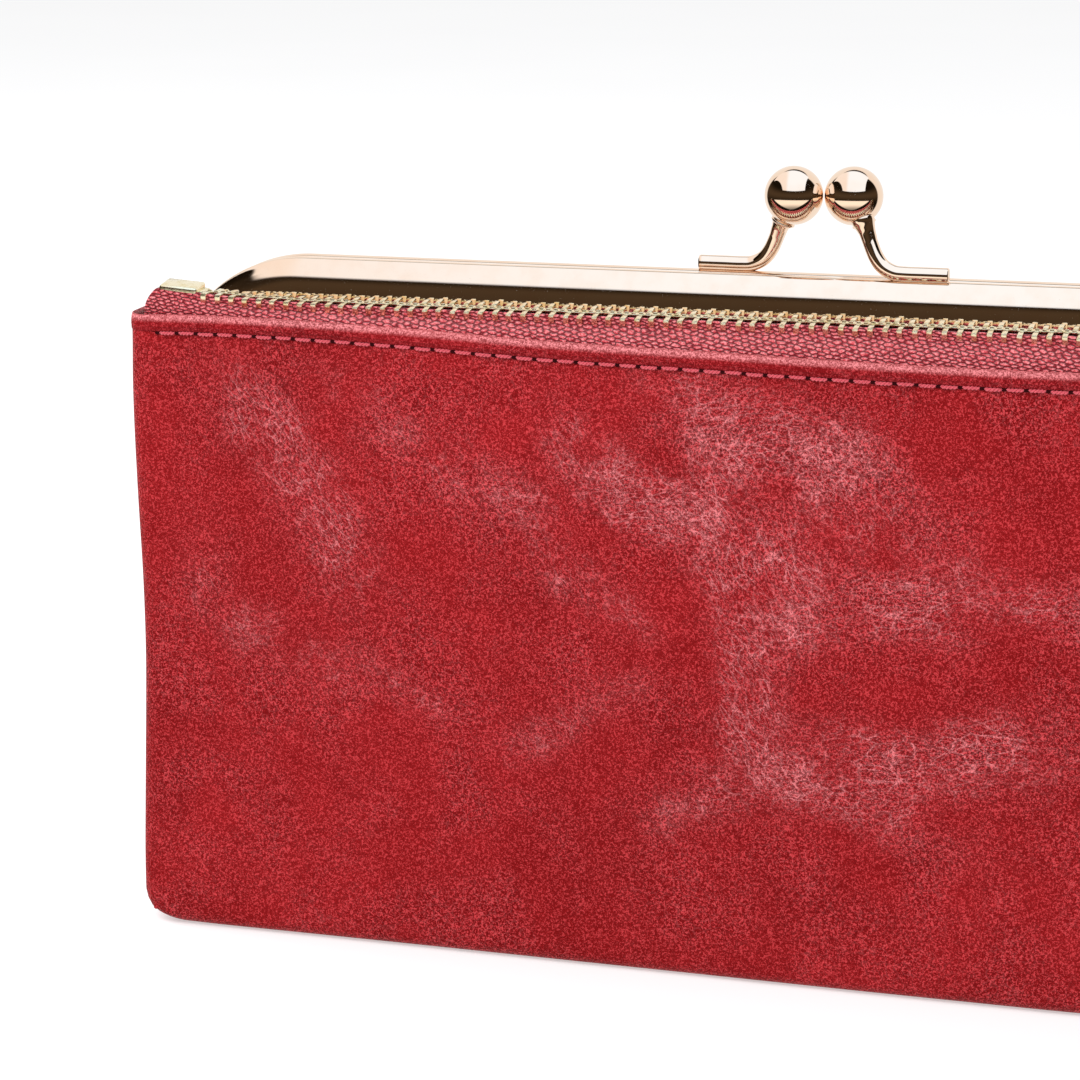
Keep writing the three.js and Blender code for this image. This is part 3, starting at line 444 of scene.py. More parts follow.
class Finish:
    """Builds one node material."""

    def __init__(self, name, **constants):
        self.material = bpy.data.materials.new(name)
        self.material.use_nodes = True
        self.tree = self.material.node_tree
        self.tree.nodes.clear()
        self.surface = self.tree.nodes.new("ShaderNodeBsdfPrincipled")
        output = self.tree.nodes.new("ShaderNodeOutputMaterial")
        self.tree.links.new(self.surface.outputs[0], output.inputs[0])
        for key, value in constants.items():
            self.surface.inputs[key.replace("_", " ")].default_value = value
        place = self.node("ShaderNodeTexCoord", out="Object")
        self.place = self.node("ShaderNodeVectorMath", {"operation": "SCALE"}, {0: place, "Scale": 1 / MM})
        self.x, self.y, self.z = self.apart(self.place)

    def node(self, kind, settings=None, sockets=None, out=0):
        """One node: its settings first, then the values or links of its sockets."""
        made = self.tree.nodes.new(kind)
        for key, value in (settings or {}).items():
            setattr(made, key, value)
        for key, value in (sockets or {}).items():
            if isinstance(value, Wire):
                self.tree.links.new(value.socket, made.inputs[key])
            else:
                made.inputs[key].default_value = value
        return Wire(self, made.outputs[out])

    def apart(self, vector):
        """The three numbers of a vector."""
        return [self.node("ShaderNodeSeparateXYZ", {}, {0: vector}, out=k) for k in range(3)]

    def grain(self, per_mm, detail=2.0, rough=0.5, bend=0.0, place=None):
        """Noise whose features are about 1 / per_mm across."""
        sockets = {"Vector": place or self.place, "Scale": per_mm, "Detail": detail, "Roughness": rough,
                   "Distortion": bend}
        return self.node("ShaderNodeTexNoise", {}, sockets)

    def warped(self, amount, per_mm, place=None):
        """The place, pushed about by noise of that size, in millimetres."""
        place = place or self.place
        sockets = {"Vector": place, "Scale": per_mm, "Detail": 2.0}
        push = self.node("ShaderNodeTexNoise", {}, sockets, out="Color")
        centred = self.node("ShaderNodeVectorMath", {"operation": "SUBTRACT"}, {0: push, 1: (0.5, 0.5, 0.5)})
        pushed = self.node("ShaderNodeVectorMath", {"operation": "SCALE"}, {0: centred, "Scale": 2 * amount})
        return self.node("ShaderNodeVectorMath", {"operation": "ADD"}, {0: place, 1: pushed})

    def cells(self, per_mm, place=None, feature="DISTANCE_TO_EDGE", random=1.0):
        sockets = {"Vector": place or self.place, "Scale": per_mm, "Randomness": random}
        return self.node("ShaderNodeTexVoronoi", {"feature": feature}, sockets)

    def field(self, name):
        """A value that the mesh carries at its points."""
        return self.node("ShaderNodeAttribute", {"attribute_name": name}, out="Fac")

    def blend(self, a, b, share, way="MIX"):
        """Colour a with colour b laid over it."""
        sockets = {0: share, 6: a, 7: b}
        return self.node("ShaderNodeMix", {"data_type": "RGBA", "blend_type": way}, sockets, out=2)

    def bump(self, height, depth_mm, strength=1.0, under=None):
        sockets = {"Height": height, "Distance": depth_mm * MM, "Strength": strength}
        if under:
            sockets["Normal"] = under
        return self.node("ShaderNodeBump", {}, sockets)

    def wear(self, **links):
        for key, value in links.items():
            self.tree.links.new(value.socket, self.surface.inputs[key.replace("_", " ")])
        return self.material


def vein_lines(f, lean, strength, dots):
    """Broken pale lines that run along one way across the front, where it has been creased."""
    turn = math.radians(lean)
    drift = (f.grain(0.1, 2.0) - 0.5) * 4.5
    along = f.x * math.cos(turn) + f.z * math.sin(turn)
    across = f.z * math.cos(turn) - f.x * math.sin(turn) + drift
    local = f.node("ShaderNodeCombineXYZ", {}, {0: across / 1.45, 1: along / 3.8, 2: 0.0})
    vein = f.cells(1.0, f.warped(0.35, 0.9, local)).ramp(0.0, 0.075, 1.0, 0.0)
    fine_vein = f.cells(2.3, f.warped(0.2, 1.6, local)).ramp(0.0, 0.12, 1.0, 0.0)
    broken = f.grain(0.3, 3.0, 0.7).ramp(0.4, 0.56)
    grainy = dots.ramp(0.35, 0.54) * 0.75 + 0.25
    return (vein * broken * 0.8 + fine_vein * 0.42) * strength * grainy


def waxed_leather(name, folds=False, hem_shade_and_highlight=False):
    """Pull-up leather: fine pebbled grain, cloudy tone, and paler veins where it has been creased."""
    deep, middle, pale = colour(142, 3, 7), colour(168, 20, 25), colour(242, 136, 140)
    f = Finish(name, Specular_IOR_Level=0.12, IOR=1.45)
    broad, close = f.grain(0.034, 3.0, 0.55, 0.6), f.grain(0.17, 3.0, 0.6, 0.4)
    tone = broad.ramp(0.34, 0.66) * 0.6 + close.ramp(0.32, 0.68) * 0.4
    base = f.blend(deep, middle, tone)
    net = f.cells(1.9, f.warped(0.18, 2.0)).ramp(0.0, 0.2, 1.0, 0.0)
    dots = f.grain(2.7, 2.0, 0.75) * 0.75 + f.grain(5.4, 1.0) * 0.25
    grit = dots.ramp(0.38, 0.62) * 0.8 + net * 0.2
    patch = f.grain(0.09, 2.0, 0.5).ramp(0.35, 0.7)
    lines = f.cells(0.8, f.warped(0.5, 1.2)).ramp(0.0, 0.08, 1.0, 0.0) * patch * 0.14
    lively = patch * 0.3 + 0.75
    if folds:
        ragged = f.grain(0.14, 3.0, 0.6).ramp(0.34, 0.6) * 0.65 + 0.35
        steep, level = f.field("steep_folds") * ragged, f.field("level_folds") * ragged
        amount = steep.most(level)
        lines = lines + vein_lines(f, -56, steep.ramp(0.05, 0.7), dots)
        lines = lines + vein_lines(f, 6, level.ramp(0.05, 0.7), dots)
        base = f.blend(base, pale, amount * 0.07)
        lively = lively + amount * 0.3
    lines = lines.least(1.0)
    # Painted shade in the grain's pits, then a painted sheen on its raised cells.
    shaded = f.blend(base, colour(84, 0, 3), (1.0 - grit) * lively * 0.72)
    lit = f.blend(shaded, colour(222, 78, 84), grit.ramp(0.45, 1.0) * lively * 0.6)
    skin_tone = f.blend(lit, pale, lines * 0.78)
    if hem_shade_and_highlight:
        # Painted shade over the hem's face, deepest at its foot, and a painted highlight along its rolled
        # top.
        band = f.field("up_the_hem")
        crest = band.ramp(0.52, 0.84) * band.ramp(0.9, 1.02, 1.0, 0.55)
        skin_tone = f.blend(skin_tone, colour(104, 6, 18), band.ramp(0.02, 0.3, 0.45, 0.2) * (1.0 - crest))
        skin_tone = f.blend(skin_tone, colour(246, 152, 156), crest * (grit * 0.75 + 0.12))
    fine = f.bump(grit, 0.11, 0.75)
    relief = f.bump(lines * 0.9 + tone * 0.35, 0.15, 0.7, fine)
    return f.wear(Base_Color=skin_tone, Roughness=0.58 - grit * 0.16 - lines * 0.06, Normal=relief)


def cut_edge_leather(name, tone=colour(150, 36, 42)):
    """Smooth strap and slot leather with a little grain."""
    f = Finish(name, Specular_IOR_Level=0.4)
    grain, cloud = f.grain(2.6, 3.0, 0.7), f.grain(0.12, 2.0)
    mixed = f.blend(tone, colour(196, 74, 80), cloud.ramp(0.4, 0.75) * 0.5)
    speckled = f.blend(mixed, colour(104, 12, 18), grain.ramp(0.5, 0.72) * 0.5)
    return f.wear(Base_Color=speckled, Roughness=0.44 + grain * 0.16, Normal=f.bump(grain, 0.05, 0.6))


def polished_gold(name, tone=colour(251, 226, 204), rough=0.035):
    """Plated and polished metal, with the faintest haze and dust in the plating."""
    f = Finish(name, Metallic=1.0)
    haze, dust = f.grain(0.3, 3.0), f.grain(6.0, 1.0, 0.4).ramp(0.76, 0.8)
    tint = f.blend(tone, colour(247, 212, 184), haze.ramp(0.4, 0.7) * 0.35)
    return f.wear(Base_Color=tint, Roughness=rough + haze * 0.03 + dust * 0.3,
                  Normal=f.bump(f.grain(0.12, 1.0), 0.01, 0.25))


def stamped_brass(name):
    """Tumbled brass with small dents and a tone that drifts from place to place."""
    f = Finish(name, Metallic=1.0)
    dent, cloud = f.grain(2.2, 3.0, 0.6), f.grain(0.7, 2.0)
    tint = f.blend(colour(250, 239, 208), colour(232, 214, 160), cloud.ramp(0.45, 0.75))
    return f.wear(Base_Color=tint, Roughness=0.1 + dent * 0.16, Normal=f.bump(dent, 0.025, 0.4))


def woven_tape(name):
    """Twill tape: short plump yarns in sloping rows, each row half a yarn on from the last."""
    f = Finish(name, Sheen_Weight=0.2, Sheen_Roughness=0.5, Specular_IOR_Level=0.25)
    push = (f.grain(0.9, 2.0) - 0.5) * 1.1
    rows = f.z / 0.42 + f.x * 0.42 + push
    inside = rows.part() - 0.5
    along = (f.x - inside * 0.3 + rows.floor() * 0.4) / 1.2 + (f.grain(1.1, 2.0) - 0.5) * 1.3
    middle = along.part() - 0.5
    yarn = (middle * middle * 4.2 + inside * inside * 3.4).ramp(0.2, 1.05, 1.0, 0.0)
    strand = f.grain(3.4, 2.0, 0.65)
    # The dark between the yarns is painted shade, and the pale on each yarn's crown is a painted highlight.
    tint = f.blend(colour(112, 6, 20), colour(196, 50, 62), yarn.ramp(0.0, 0.5))
    lit = yarn.ramp(0.5, 1.0) * (strand.ramp(0.38, 0.64) * 0.8 + 0.05)
    tint = f.blend(tint, colour(248, 150, 154), lit)
    return f.wear(Base_Color=tint, Roughness=0.7 - yarn * 0.15, Normal=f.bump(yarn + strand * 0.2, 0.3, 1.0))


def lining_cloth(name):
    """Fine twill lining."""
    f = Finish(name, Sheen_Weight=0.2, Specular_IOR_Level=0.2)
    warp = ((f.x * 2.6 + f.z * 1.1).part() - 0.5).size()
    weft = ((f.z * 2.6 + f.y * 2.6 - f.x * 0.6).part() - 0.5).size()
    cloth = warp * 0.6 + weft * 0.6
    tint = f.blend(colour(92, 20, 26), colour(150, 48, 54), cloth + f.grain(0.1) * 0.3)
    return f.wear(Base_Color=tint, Roughness=0.75 + cloth * 0.15, Normal=f.bump(cloth, 0.12, 0.7))


def sewing_thread(name, tone=colour(214, 84, 96)):
    """Waxed two-ply thread."""
    f = Finish(name, Sheen_Weight=0.3, Specular_IOR_Level=0.35)
    fibre = f.grain(5.0, 2.0, 0.6)
    tint = f.blend(tone, colour(158, 30, 42), fibre.ramp(0.45, 0.8) * 0.7)
    return f.wear(Base_Color=tint, Roughness=0.5 + fibre * 0.2, Normal=f.bump(fibre, 0.05, 0.6))


def needle_hole(name):
    """The shade inside a needle hole."""
    f = Finish(name, Specular_IOR_Level=0.1)
    tint = f.blend(colour(30, 2, 4), colour(60, 6, 10), f.grain(2.0))
    return f.wear(Base_Color=tint, Roughness=0.9 - f.grain(3.0) * 0.1)


def pressed_board(name):
    """Grey-brown fibre board and paper cord."""
    f = Finish(name, Specular_IOR_Level=0.2)
    fibre = f.grain(1.4, 4.0, 0.7, 1.0)
    tint = f.blend(colour(150, 128, 98), colour(196, 176, 146), fibre)
    return f.wear(Base_Color=tint, Roughness=0.8 + fibre * 0.15, Normal=f.bump(fibre, 0.12, 0.6))


def pale_floor(name):
    """A white sweep, lit so evenly that it has no horizon."""
    f = Finish(name, Specular_IOR_Level=0.0, Roughness=0.9)
    tint = f.blend(colour(200, 200, 201), colour(203, 203, 204), f.grain(0.01))
    f.surface.inputs["Emission Color"].default_value = (1, 1, 1, 1)
    f.surface.inputs["Emission Strength"].default_value = 0.48
    return f.wear(Base_Color=tint)


def studio_surround(name):
    """What polished metal sees: a wide soft light in front and above, pale walls behind, dark between."""
    f = Finish(name)
    direction = f.node("ShaderNodeVectorMath", {"operation": "NORMALIZE"}, {0: f.place})
    x, y, z = f.apart(direction)
    level = (x * x + y * y).math("SQRT")
    front = (0.0 - y) / level.most(0.001)
    turn = math.radians(VIEW_TURN)
    across = x * math.cos(turn) + y * math.sin(turn)
    aside = across / (1.0 - across * across).most(0.0001).math("SQRT")
    tall = z.math("ARCTAN2", 0.0 - y)  # up from the front, over the top and down behind
    softbox = z.ramp(0.385, 0.42) * tall.ramp(math.radians(118), math.radians(121), 1, 0)
    softbox = softbox * aside.ramp(-1.1, -1.04) * aside.ramp(0.79, 0.84, 1, 0)
    behind = front.ramp(-0.42, -0.52) * z.ramp(0.74, 0.8, 1, 0)
    floor_glow = z.ramp(-0.23, -0.18, 1, 0) * (z + front * 0.78).ramp(0.0, 0.06) * front.ramp(0.1, 0.3)
    near = colour(74, 60, 44)
    shade = f.blend(colour(26, 20, 13), near, z.ramp(-0.3, 0.1) * z.ramp(0.1, 0.5, 1, 0))
    shade = f.blend(shade, (1.15, 1.09, 0.98, 1), floor_glow * (z.ramp(-0.75, -0.4) * 0.75 + 0.25))
    shade = f.blend(shade, (0.95, 0.93, 0.9, 1), behind)
    lamp = f.blend((1.02, 1.0, 1.0, 1), (1.06, 1.24, 1.46, 1), x.ramp(-0.42, -0.2))
    shade = f.blend(shade, lamp, softbox)
    f.surface.inputs["Base Color"].default_value = (0, 0, 0, 1)
    f.surface.inputs["Specular IOR Level"].default_value = 0
    f.surface.inputs["Emission Strength"].default_value = 1
    return f.wear(Emission_Color=shade)


# ---- Camera and studio ----

def studio():
    lens = bpy.data.cameras.new("camera")
    lens.lens, lens.sensor_width = 140, 36
    camera = bpy.data.objects.new("camera", lens)
    camera.location = VIEW_FROM
    camera.rotation_euler = (math.radians(90 - VIEW_DROP), 0, math.radians(VIEW_TURN))
    bpy.context.collection.objects.link(camera)
    bpy.context.scene.camera = camera
    bpy.context.scene.view_settings.view_transform = "Standard"

    world = bpy.data.worlds.new("studio")
    bpy.context.scene.world = world
    world.use_nodes = True
    world.node_tree.nodes["Background"].inputs[0].default_value = (1, 1, 1, 1)
    world.node_tree.nodes["Background"].inputs[1].default_value = 0.72
    world.cycles.sampling_method = "NONE"

    reach = 6.0
    mesh = bpy.data.meshes.new("floor")
    corners = [(-reach, -reach, 0), (reach, -reach, 0), (reach, reach, 0), (-reach, reach, 0)]
    mesh.from_pydata(corners, [], [(0, 1, 2, 3)])
    mesh.materials.append(pale_floor("floor_white"))
    floor = bpy.data.objects.new("floor", mesh)
    floor.location.z = -0.0001
    floor.visible_glossy = False
    bpy.context.collection.objects.link(floor)

    made = bmesh.new()
    bmesh.ops.create_icosphere(made, subdivisions=5, radius=9)
    for face in made.faces:
        face.smooth = True
    mesh = bpy.data.meshes.new("surround")
    made.to_mesh(mesh)
    made.free()
    mesh.materials.append(studio_surround("surround"))
    mesh.materials[0].cycles.emission_sampling = "NONE"
    dome = bpy.data.objects.new("surround", mesh)
    dome.visible_camera = dome.visible_diffuse = dome.visible_shadow = dome.visible_transmission = False
    bpy.context.collection.objects.link(dome)

    for name, place, size, power in (
        ("key_light", (-0.25, -0.75, 1.0), 0.7, 9.0),
        ("left_light", (-0.9, 0.25, 0.6), 0.6, 5.0),
    ):
        light = bpy.data.lights.new(name, "AREA")
        light.size, light.energy = size, power
        lamp = bpy.data.objects.new(name, light)
        lamp.location = place
        lamp.rotation_euler = (Vector((0, 0, 0.05)) - Vector(place)).to_track_quat("-Z", "Y").to_euler()
        lamp.visible_glossy = False
        bpy.context.collection.objects.link(lamp)


studio()
RED = waxed_leather("front_leather", folds=True)
RED_PLAIN = waxed_leather("shell_leather")
RED_HEM = waxed_leather("hem_leather", hem_shade_and_highlight=True)
SLOT_RED = cut_edge_leather("slot_leather")
STRAP_RED = cut_edge_leather("strap_leather", colour(172, 44, 52))
GOLD = polished_gold("frame_gold")
HARDWARE = polished_gold("hardware_gold", rough=0.07)
BRASS = stamped_brass("zip_brass")
TAPE = woven_tape("zip_tape")
LINING = lining_cloth("lining_cloth")
THREAD_RED = sewing_thread("thread")
HOLE = needle_hole("needle_hole")
BOARD = pressed_board("board")
SLOT_OF = {
    RED: "shell_leather", RED_PLAIN: "shell_leather", RED_HEM: "shell_leather", SLOT_RED: "slot_leather",
    STRAP_RED: "strap_leather", GOLD: "frame_gold", HARDWARE: "hardware_gold", BRASS: "zip_brass",
    TAPE: "zip_tape", LINING: "lining_cloth", BOARD: "board",
}


# ---- The leather body's shape ----

# How far forward the front's foot stands, by its place along the front.
front_foot = through([(-100, 9.6), (-60, 12.0), (-20, 14.7), (20, 17.4), (45, 18.6), (72, 17.6),
                      (100, 12.6)])
LEAN_FROM = 34  # the rear begins to lean in towards the frame above this height


def front_bow(x, z):
    """How far forward the front stands."""
    foot = front_foot(x)
    top = FRONT_END + (FRONT_MID - FRONT_END) * (1 - (x / HALF) ** 2)
    share = smooth_step(z, 0, HEM_TOP)
    belly = 1.1 * np.sin(np.pi * np.clip(z / HEM_TOP, 0, 1)) * (1 - (x / HALF) ** 4)
    return foot + (top - foot) * share + belly


def back_bow(x, z):
    """How far back the rear stands, below the hinge and above it."""
    full = BACK_END + (BACK_MID - BACK_END) * (1 - (x / HALF) ** 2)
    tucked = LEATHER - DIVIDER[1][1]
    risen = (z - LEAN_FROM) / (FRAME_TOP - FRAME_FACE - LEAN_FROM)
    lean = 1 - np.cos(np.clip(risen, 0, 1) * np.pi / 2)
    return full + (tucked - full) * lean


def side_inset(z):
    """The sides spread a little towards the base, and draw in between it and the hem."""
    waist = 0.9 * np.sin(np.pi * np.clip((z - 4) / 78, 0, 1)) ** 2
    return waist - 1.25 - 0.75 * (1 - np.clip(z / HEM_TOP, 0, 1))


def plan_line(bow, sign, z, side_steps=5, corner_steps=8, middle_steps=150):
    """One level of the shell: up the side, round the corner and across; points and outward ways."""
    inset = side_inset(z)
    r = SIDE_CORNER
    end = HALF - r
    depth = bow(end, z) - r
    side = [(HALF - inset, sign * (SEAM_EDGE + (depth - SEAM_EDGE) * t))
            for t in np.arange(side_steps) / side_steps]
    turn = [(end - inset + r * math.cos(a), sign * (depth + r * math.sin(a)))
            for a in np.linspace(0, math.pi / 2, corner_steps + 1)]
    right = side + turn
    shrink = (end - inset) / end
    xs = np.linspace(end, -end, middle_steps + 1)[1:-1]
    middle = [(x * shrink, sign * bow(x, z)) for x in xs]
    left_depth = bow(-end, z) - r
    left = [(-(end - inset + r * math.cos(a)), sign * (left_depth + r * math.sin(a)))
            for a in np.linspace(math.pi / 2, 0, corner_steps + 1)]
    left += [(inset - HALF, sign * (left_depth + (SEAM_EDGE - left_depth) * t))
             for t in np.arange(1, side_steps + 1) / side_steps]
    line = np.array(right + middle + left)
    way = unit(np.gradient(line, axis=0))
    out = np.stack([-way[:, 1], way[:, 0]], 1) * -sign
    return line, out


def wrinkle(points, out, depth):
    """Gentle waves and dents pressed into soft leather."""
    moved_by = np.empty(len(points))
    for i, (x, y, z) in enumerate(points):
        broad = noise.noise(Vector((x * 0.022, y * 0.02, z * 0.03 + 7)))
        fine = noise.noise(Vector((x * 0.075 + 3, y * 0.05, z * 0.085)))
        moved_by[i] = broad * depth + fine * depth * 0.32
    return points + out * moved_by[:, None]


def shell_rows(bow, sign, levels):
    """Rows of surface points from under the base up to the last level."""
    rows = []
    line, out = plan_line(bow, sign, 0.0)
    corner = smooth_step(np.abs(line[:, 0]), HALF - 12, HALF)

    def placed(line, out, inward, z):
        drop = BASE_CORNER * (1 - math.sqrt(1 - (1 - min(z / BASE_CORNER, 1)) ** 2))
        at = line - out * inward
        if inward > SIDE_CORNER * 0.85:  # past the corners' own centres: squeeze instead of crossing over
            squeeze = 0.93
            room = HALF - side_inset(z) - inward
            over = np.clip(np.abs(at[:, 0]) - room, 0, None)
            at[:, 0] -= np.sign(at[:, 0]) * over * squeeze
            reach_y = bow(np.abs(at[:, 0]), z) - inward
            at[:, 1] -= sign * np.clip(np.abs(at[:, 1]) - reach_y, 0, None) * squeeze
        at[:, 0] -= np.sign(at[:, 0]) * drop * corner
        return np.column_stack([at, np.full(len(at), z)])

    for reach in (5.0, 3.6, 2.4, 1.2):
        rows.append(placed(line, out, BASE_ROLL + reach, 0.0))
    for angle in np.radians(np.linspace(90, 9, 10)):
        rows.append(placed(line, out, BASE_ROLL * (1 - math.cos(angle)), BASE_ROLL * (1 - math.sin(angle))))
    for z in levels:
        line, out = plan_line(bow, sign, z)
        rows.append(placed(line, out, 0.0, z))
    return np.array(rows)


def pressed(rows, sign, depth, keep_top):
    """The rows with their wrinkles, fading out towards the seams, the base and the top."""
    made = rows.copy()
    out = unit(np.cross(np.gradient(rows, axis=1), np.gradient(rows, axis=0)))
    flat, ways = rows.reshape(-1, 3), out.reshape(-1, 3)
    waved = wrinkle(flat, ways * (1 if (ways[:, 1].mean() < 0) == (sign < 0) else -1), depth)
    fade = smooth_step(flat[:, 2], 2, 12) * (1 - smooth_step(flat[:, 2], keep_top - 7, keep_top))
    fade *= 1 - 0.7 * smooth_step(np.abs(flat[:, 0]), HALF - 9, HALF)
    return (flat + (waved - flat) * fade[:, None]).reshape(made.shape)


# Where the front has been creased: lines of (x, z) with the strength of each and its breadth.
CREASES = [
    ([(-88, 87), (-79, 78), (-74, 71), (-69, 63), (-66, 52)], 0.75, 4.0),
    ([(-92, 60), (-85, 49), (-74, 44), (-64, 37)], 0.45, 3.5),
    ([(-76, 88), (-60, 79), (-50, 72), (-41, 65)], 0.55, 3.5),
    ([(-36, 84), (-30, 75), (-23, 71), (-14, 68), (-8, 61), (-6, 51), (-6, 39), (-1, 33), (11, 29),
      (27, 23)], 1.0, 3.6),
    ([(-38, 72), (-34, 61), (-27, 55), (-19, 50)], 0.7, 2.6),
    ([(-24, 89), (-9, 81), (3, 78), (10, 73), (19, 66)], 1.0, 4.4),
    ([(-14, 82), (-9, 71), (-2, 63), (0, 54)], 0.9, 4.0),
    ([(-7, 49), (-1, 54), (8, 57), (20, 58), (32, 55)], 0.85, 3.4),
    ([(-6, 34), (4, 35), (15, 35), (28, 37), (42, 41)], 1.0, 3.6),
    ([(-26, 20), (-14, 28), (1, 32), (15, 33)], 0.5, 3.6),
    ([(-45, 32), (-38, 34), (-29, 41), (-18, 47)], 0.45, 2.6),
    ([(12, 76), (23, 64), (34, 59), (46, 57)], 0.6, 3.4),
    ([(-56, 80), (-47, 73), (-35, 67)], 0.5, 3.0),
    ([(-69, 47), (-59, 40), (-50, 37)], 0.4, 2.4),
    ([(52, 86), (60, 74), (64, 60), (74, 48)], 0.7, 3.8),
    ([(48, 30), (60, 36), (76, 34), (90, 40)], 0.6, 3.4),
]


CREASE_SPREAD = 1.45  # how much wider than its breadth a crease is felt


def crease_fields(points):
    """How strongly each point is creased, by steep creases and by level ones."""
    x, z = points[:, 0], points[:, 2]
    steep, level = np.zeros(len(points)), np.zeros(len(points))
    for stops, weight, breadth in CREASES:
        line = rounded_path([(a, b) for a, b in stops], 4)
        starts, ways = line[:-1], line[1:] - line[:-1]
        for i, (start, way) in enumerate(zip(starts, ways)):
            rel = np.column_stack([x, z]) - start
            t = np.clip(rel @ way / (way @ way), 0, 1)
            gap = np.hypot(*(rel - t[:, None] * way).T)
            along = (i + t) / len(ways)
            fading = np.minimum(1, 5 * np.minimum(along, 1 - along) + 0.15)
            here = weight * np.exp(-(gap / breadth / CREASE_SPREAD) ** 2) * fading
            share = smooth_step(abs(way[1]) / np.hypot(*way), 0.35, 0.7)
            steep = np.maximum(steep, here * share)
            level = np.maximum(level, here * (1 - share))
    return steep, level


# How far the hem stands over its level, by its place along the front.
hem_lift = through([(-100, 1.35), (-90, 1.7), (-80, 1.78), (-60, 1.5), (-37, 0.65), (-14, 0.2), (8, -0.3),
                    (32, -0.6), (60, -0.3), (85, 0.7), (100, 1.35)])


def chain_lift(x):
    return CHAIN_RISE * np.clip((CHAIN_RISE_FROM - x) / (HALF + CHAIN_RISE_FROM), 0, None) ** 2


def front_leather():
    """The creased front, from under the base to the hem."""
    rows = shell_rows(front_bow, -1, np.linspace(FIRST_LEVEL, HEM_FOOT + 0.3, 66))
    share = smooth_step(rows[:, :, 2], 60, HEM_FOOT)
    rows = pressed(rows, -1, 0.75, HEM_FOOT)
    rows[:, :, 2] += share * hem_lift(rows[:, :, 0])
    names = ("steep_folds", "level_folds")
    fields = {name: lambda p, k=k: crease_fields(p)[k] for k, name in enumerate(names)}
    piece("front_leather", Shells().add(leaf(rows[:, ::-1], LEATHER)), RED, stands_for=("front_panel",),
          fields=fields)


def swept(line, out, section, lift):
    """A closed (outward, z) section carried along a plan line."""
    rows = []
    for (x, y), (ox, oy) in zip(line, out):
        rise = lift(x)
        slim = 1 - 0.75 * smooth_step(abs(x), HALF - 5, HALF - 2)
        rows.append([(x + ox * s * slim, y + oy * s * slim, z + rise) for s, z in section])
    return skin(rows)


def hem():
    """The turned edge along the top of the front."""
    line, out = plan_line(front_bow, -1, HEM_FOOT + 1)
    top, foot = HEM_TOP, HEM_FOOT
    section = rounded_path([
        (-LEATHER, foot + 0.1), (0.2, foot), (0.52, foot + 0.22), (0.66, foot + 0.9), (0.7, top - 1.7),
        (0.55, top - 0.8), (0.1, top - 0.15), (-0.5, top), (-1.1, top - 0.2), (-LEATHER, top - 0.7),
    ], 3, closed=True)
    rise = lambda p: (p[:, 2] - hem_lift(p[:, 0]) - foot) / (top - foot)
    piece("hem", Shells().add(swept(line, out, section, hem_lift)), RED_HEM, stands_for=("front_hem",),
          crisp=60, fields={"up_the_hem": rise})


def stitches(name, path, outward, hole_name, body="root", slot="shell_leather", pitch=STITCH, ply=THREAD):
    """Two-ply stitches along a path, each dipping into a needle hole at its ends."""
    path, outward = np.asarray(path, float), np.asarray(outward, float)
    length = np.concatenate([[0], np.cumsum(np.linalg.norm(np.diff(path, axis=0), axis=1))])
    count = int(length[-1] // pitch)
    thread, holes = Shells(), Shells()
    at = lambda s: np.array([np.interp(s, length, path[:, k]) for k in range(3)])
    way_out = lambda s: unit(np.array([np.interp(s, length, outward[:, k]) for k in range(3)]))
    for i in range(count + 1):
        s = i * pitch
        centre, out = at(s), way_out(s)
        forward = unit(at(min(s + 0.2, length[-1])) - at(max(s - 0.2, 0)))
        side = np.cross(out, forward)
        hole_radius, hole_depth = 0.46 * ply / THREAD, 0.5
        ring = [centre + out * 0.07 + hole_radius * (forward * math.cos(a) + side * math.sin(a) * 0.6)
                for a in np.radians(np.arange(0, 360, 45))]
        low = [p - out * hole_depth for p in ring]
        holes.add(skin([low, ring]))
        if i == count:
            break
        lean = 0.05 * math.sin(i * 2.3)
        steps, turns = 18, 2.2
        for phase in (0, math.pi):
            line = []
            for k in range(steps + 1):
                t = k / steps
                here = s + pitch * (0.12 + 0.76 * t)
                rise = 0.36 * (1 - abs(2 * t - 1) ** 3.5) - 0.16
                angle = phase + 2 * math.pi * turns * t
                out_here = way_out(here)
                twist = ply * 0.85 * (math.cos(angle) * out_here + math.sin(angle) * side)
                line.append(at(here) + out_here * rise + side * lean + twist)
            thread.add(tube(line, ply, 6))
    piece(name, thread, THREAD_RED, body, slot=slot)
    piece(hole_name, holes, HOLE, body, slot=slot)


def hem_stitches():
    line, out = plan_line(front_bow, -1, HEM_FOOT)
    keep = (np.abs(line[:, 0]) < HALF - SIDE_CORNER + 0.3)
    line, out = line[keep], out[keep]
    raised, under = 0.16, 0.22
    path = [(x + ox * raised, y + oy * raised, HEM_FOOT - under + hem_lift(x))
            for (x, y), (ox, oy) in zip(line, out)]
    ways = [(ox, oy, -0.1) for ox, oy in out]
    stitches("hem_stitches", path[::-1], ways[::-1], "hem_needle_holes")


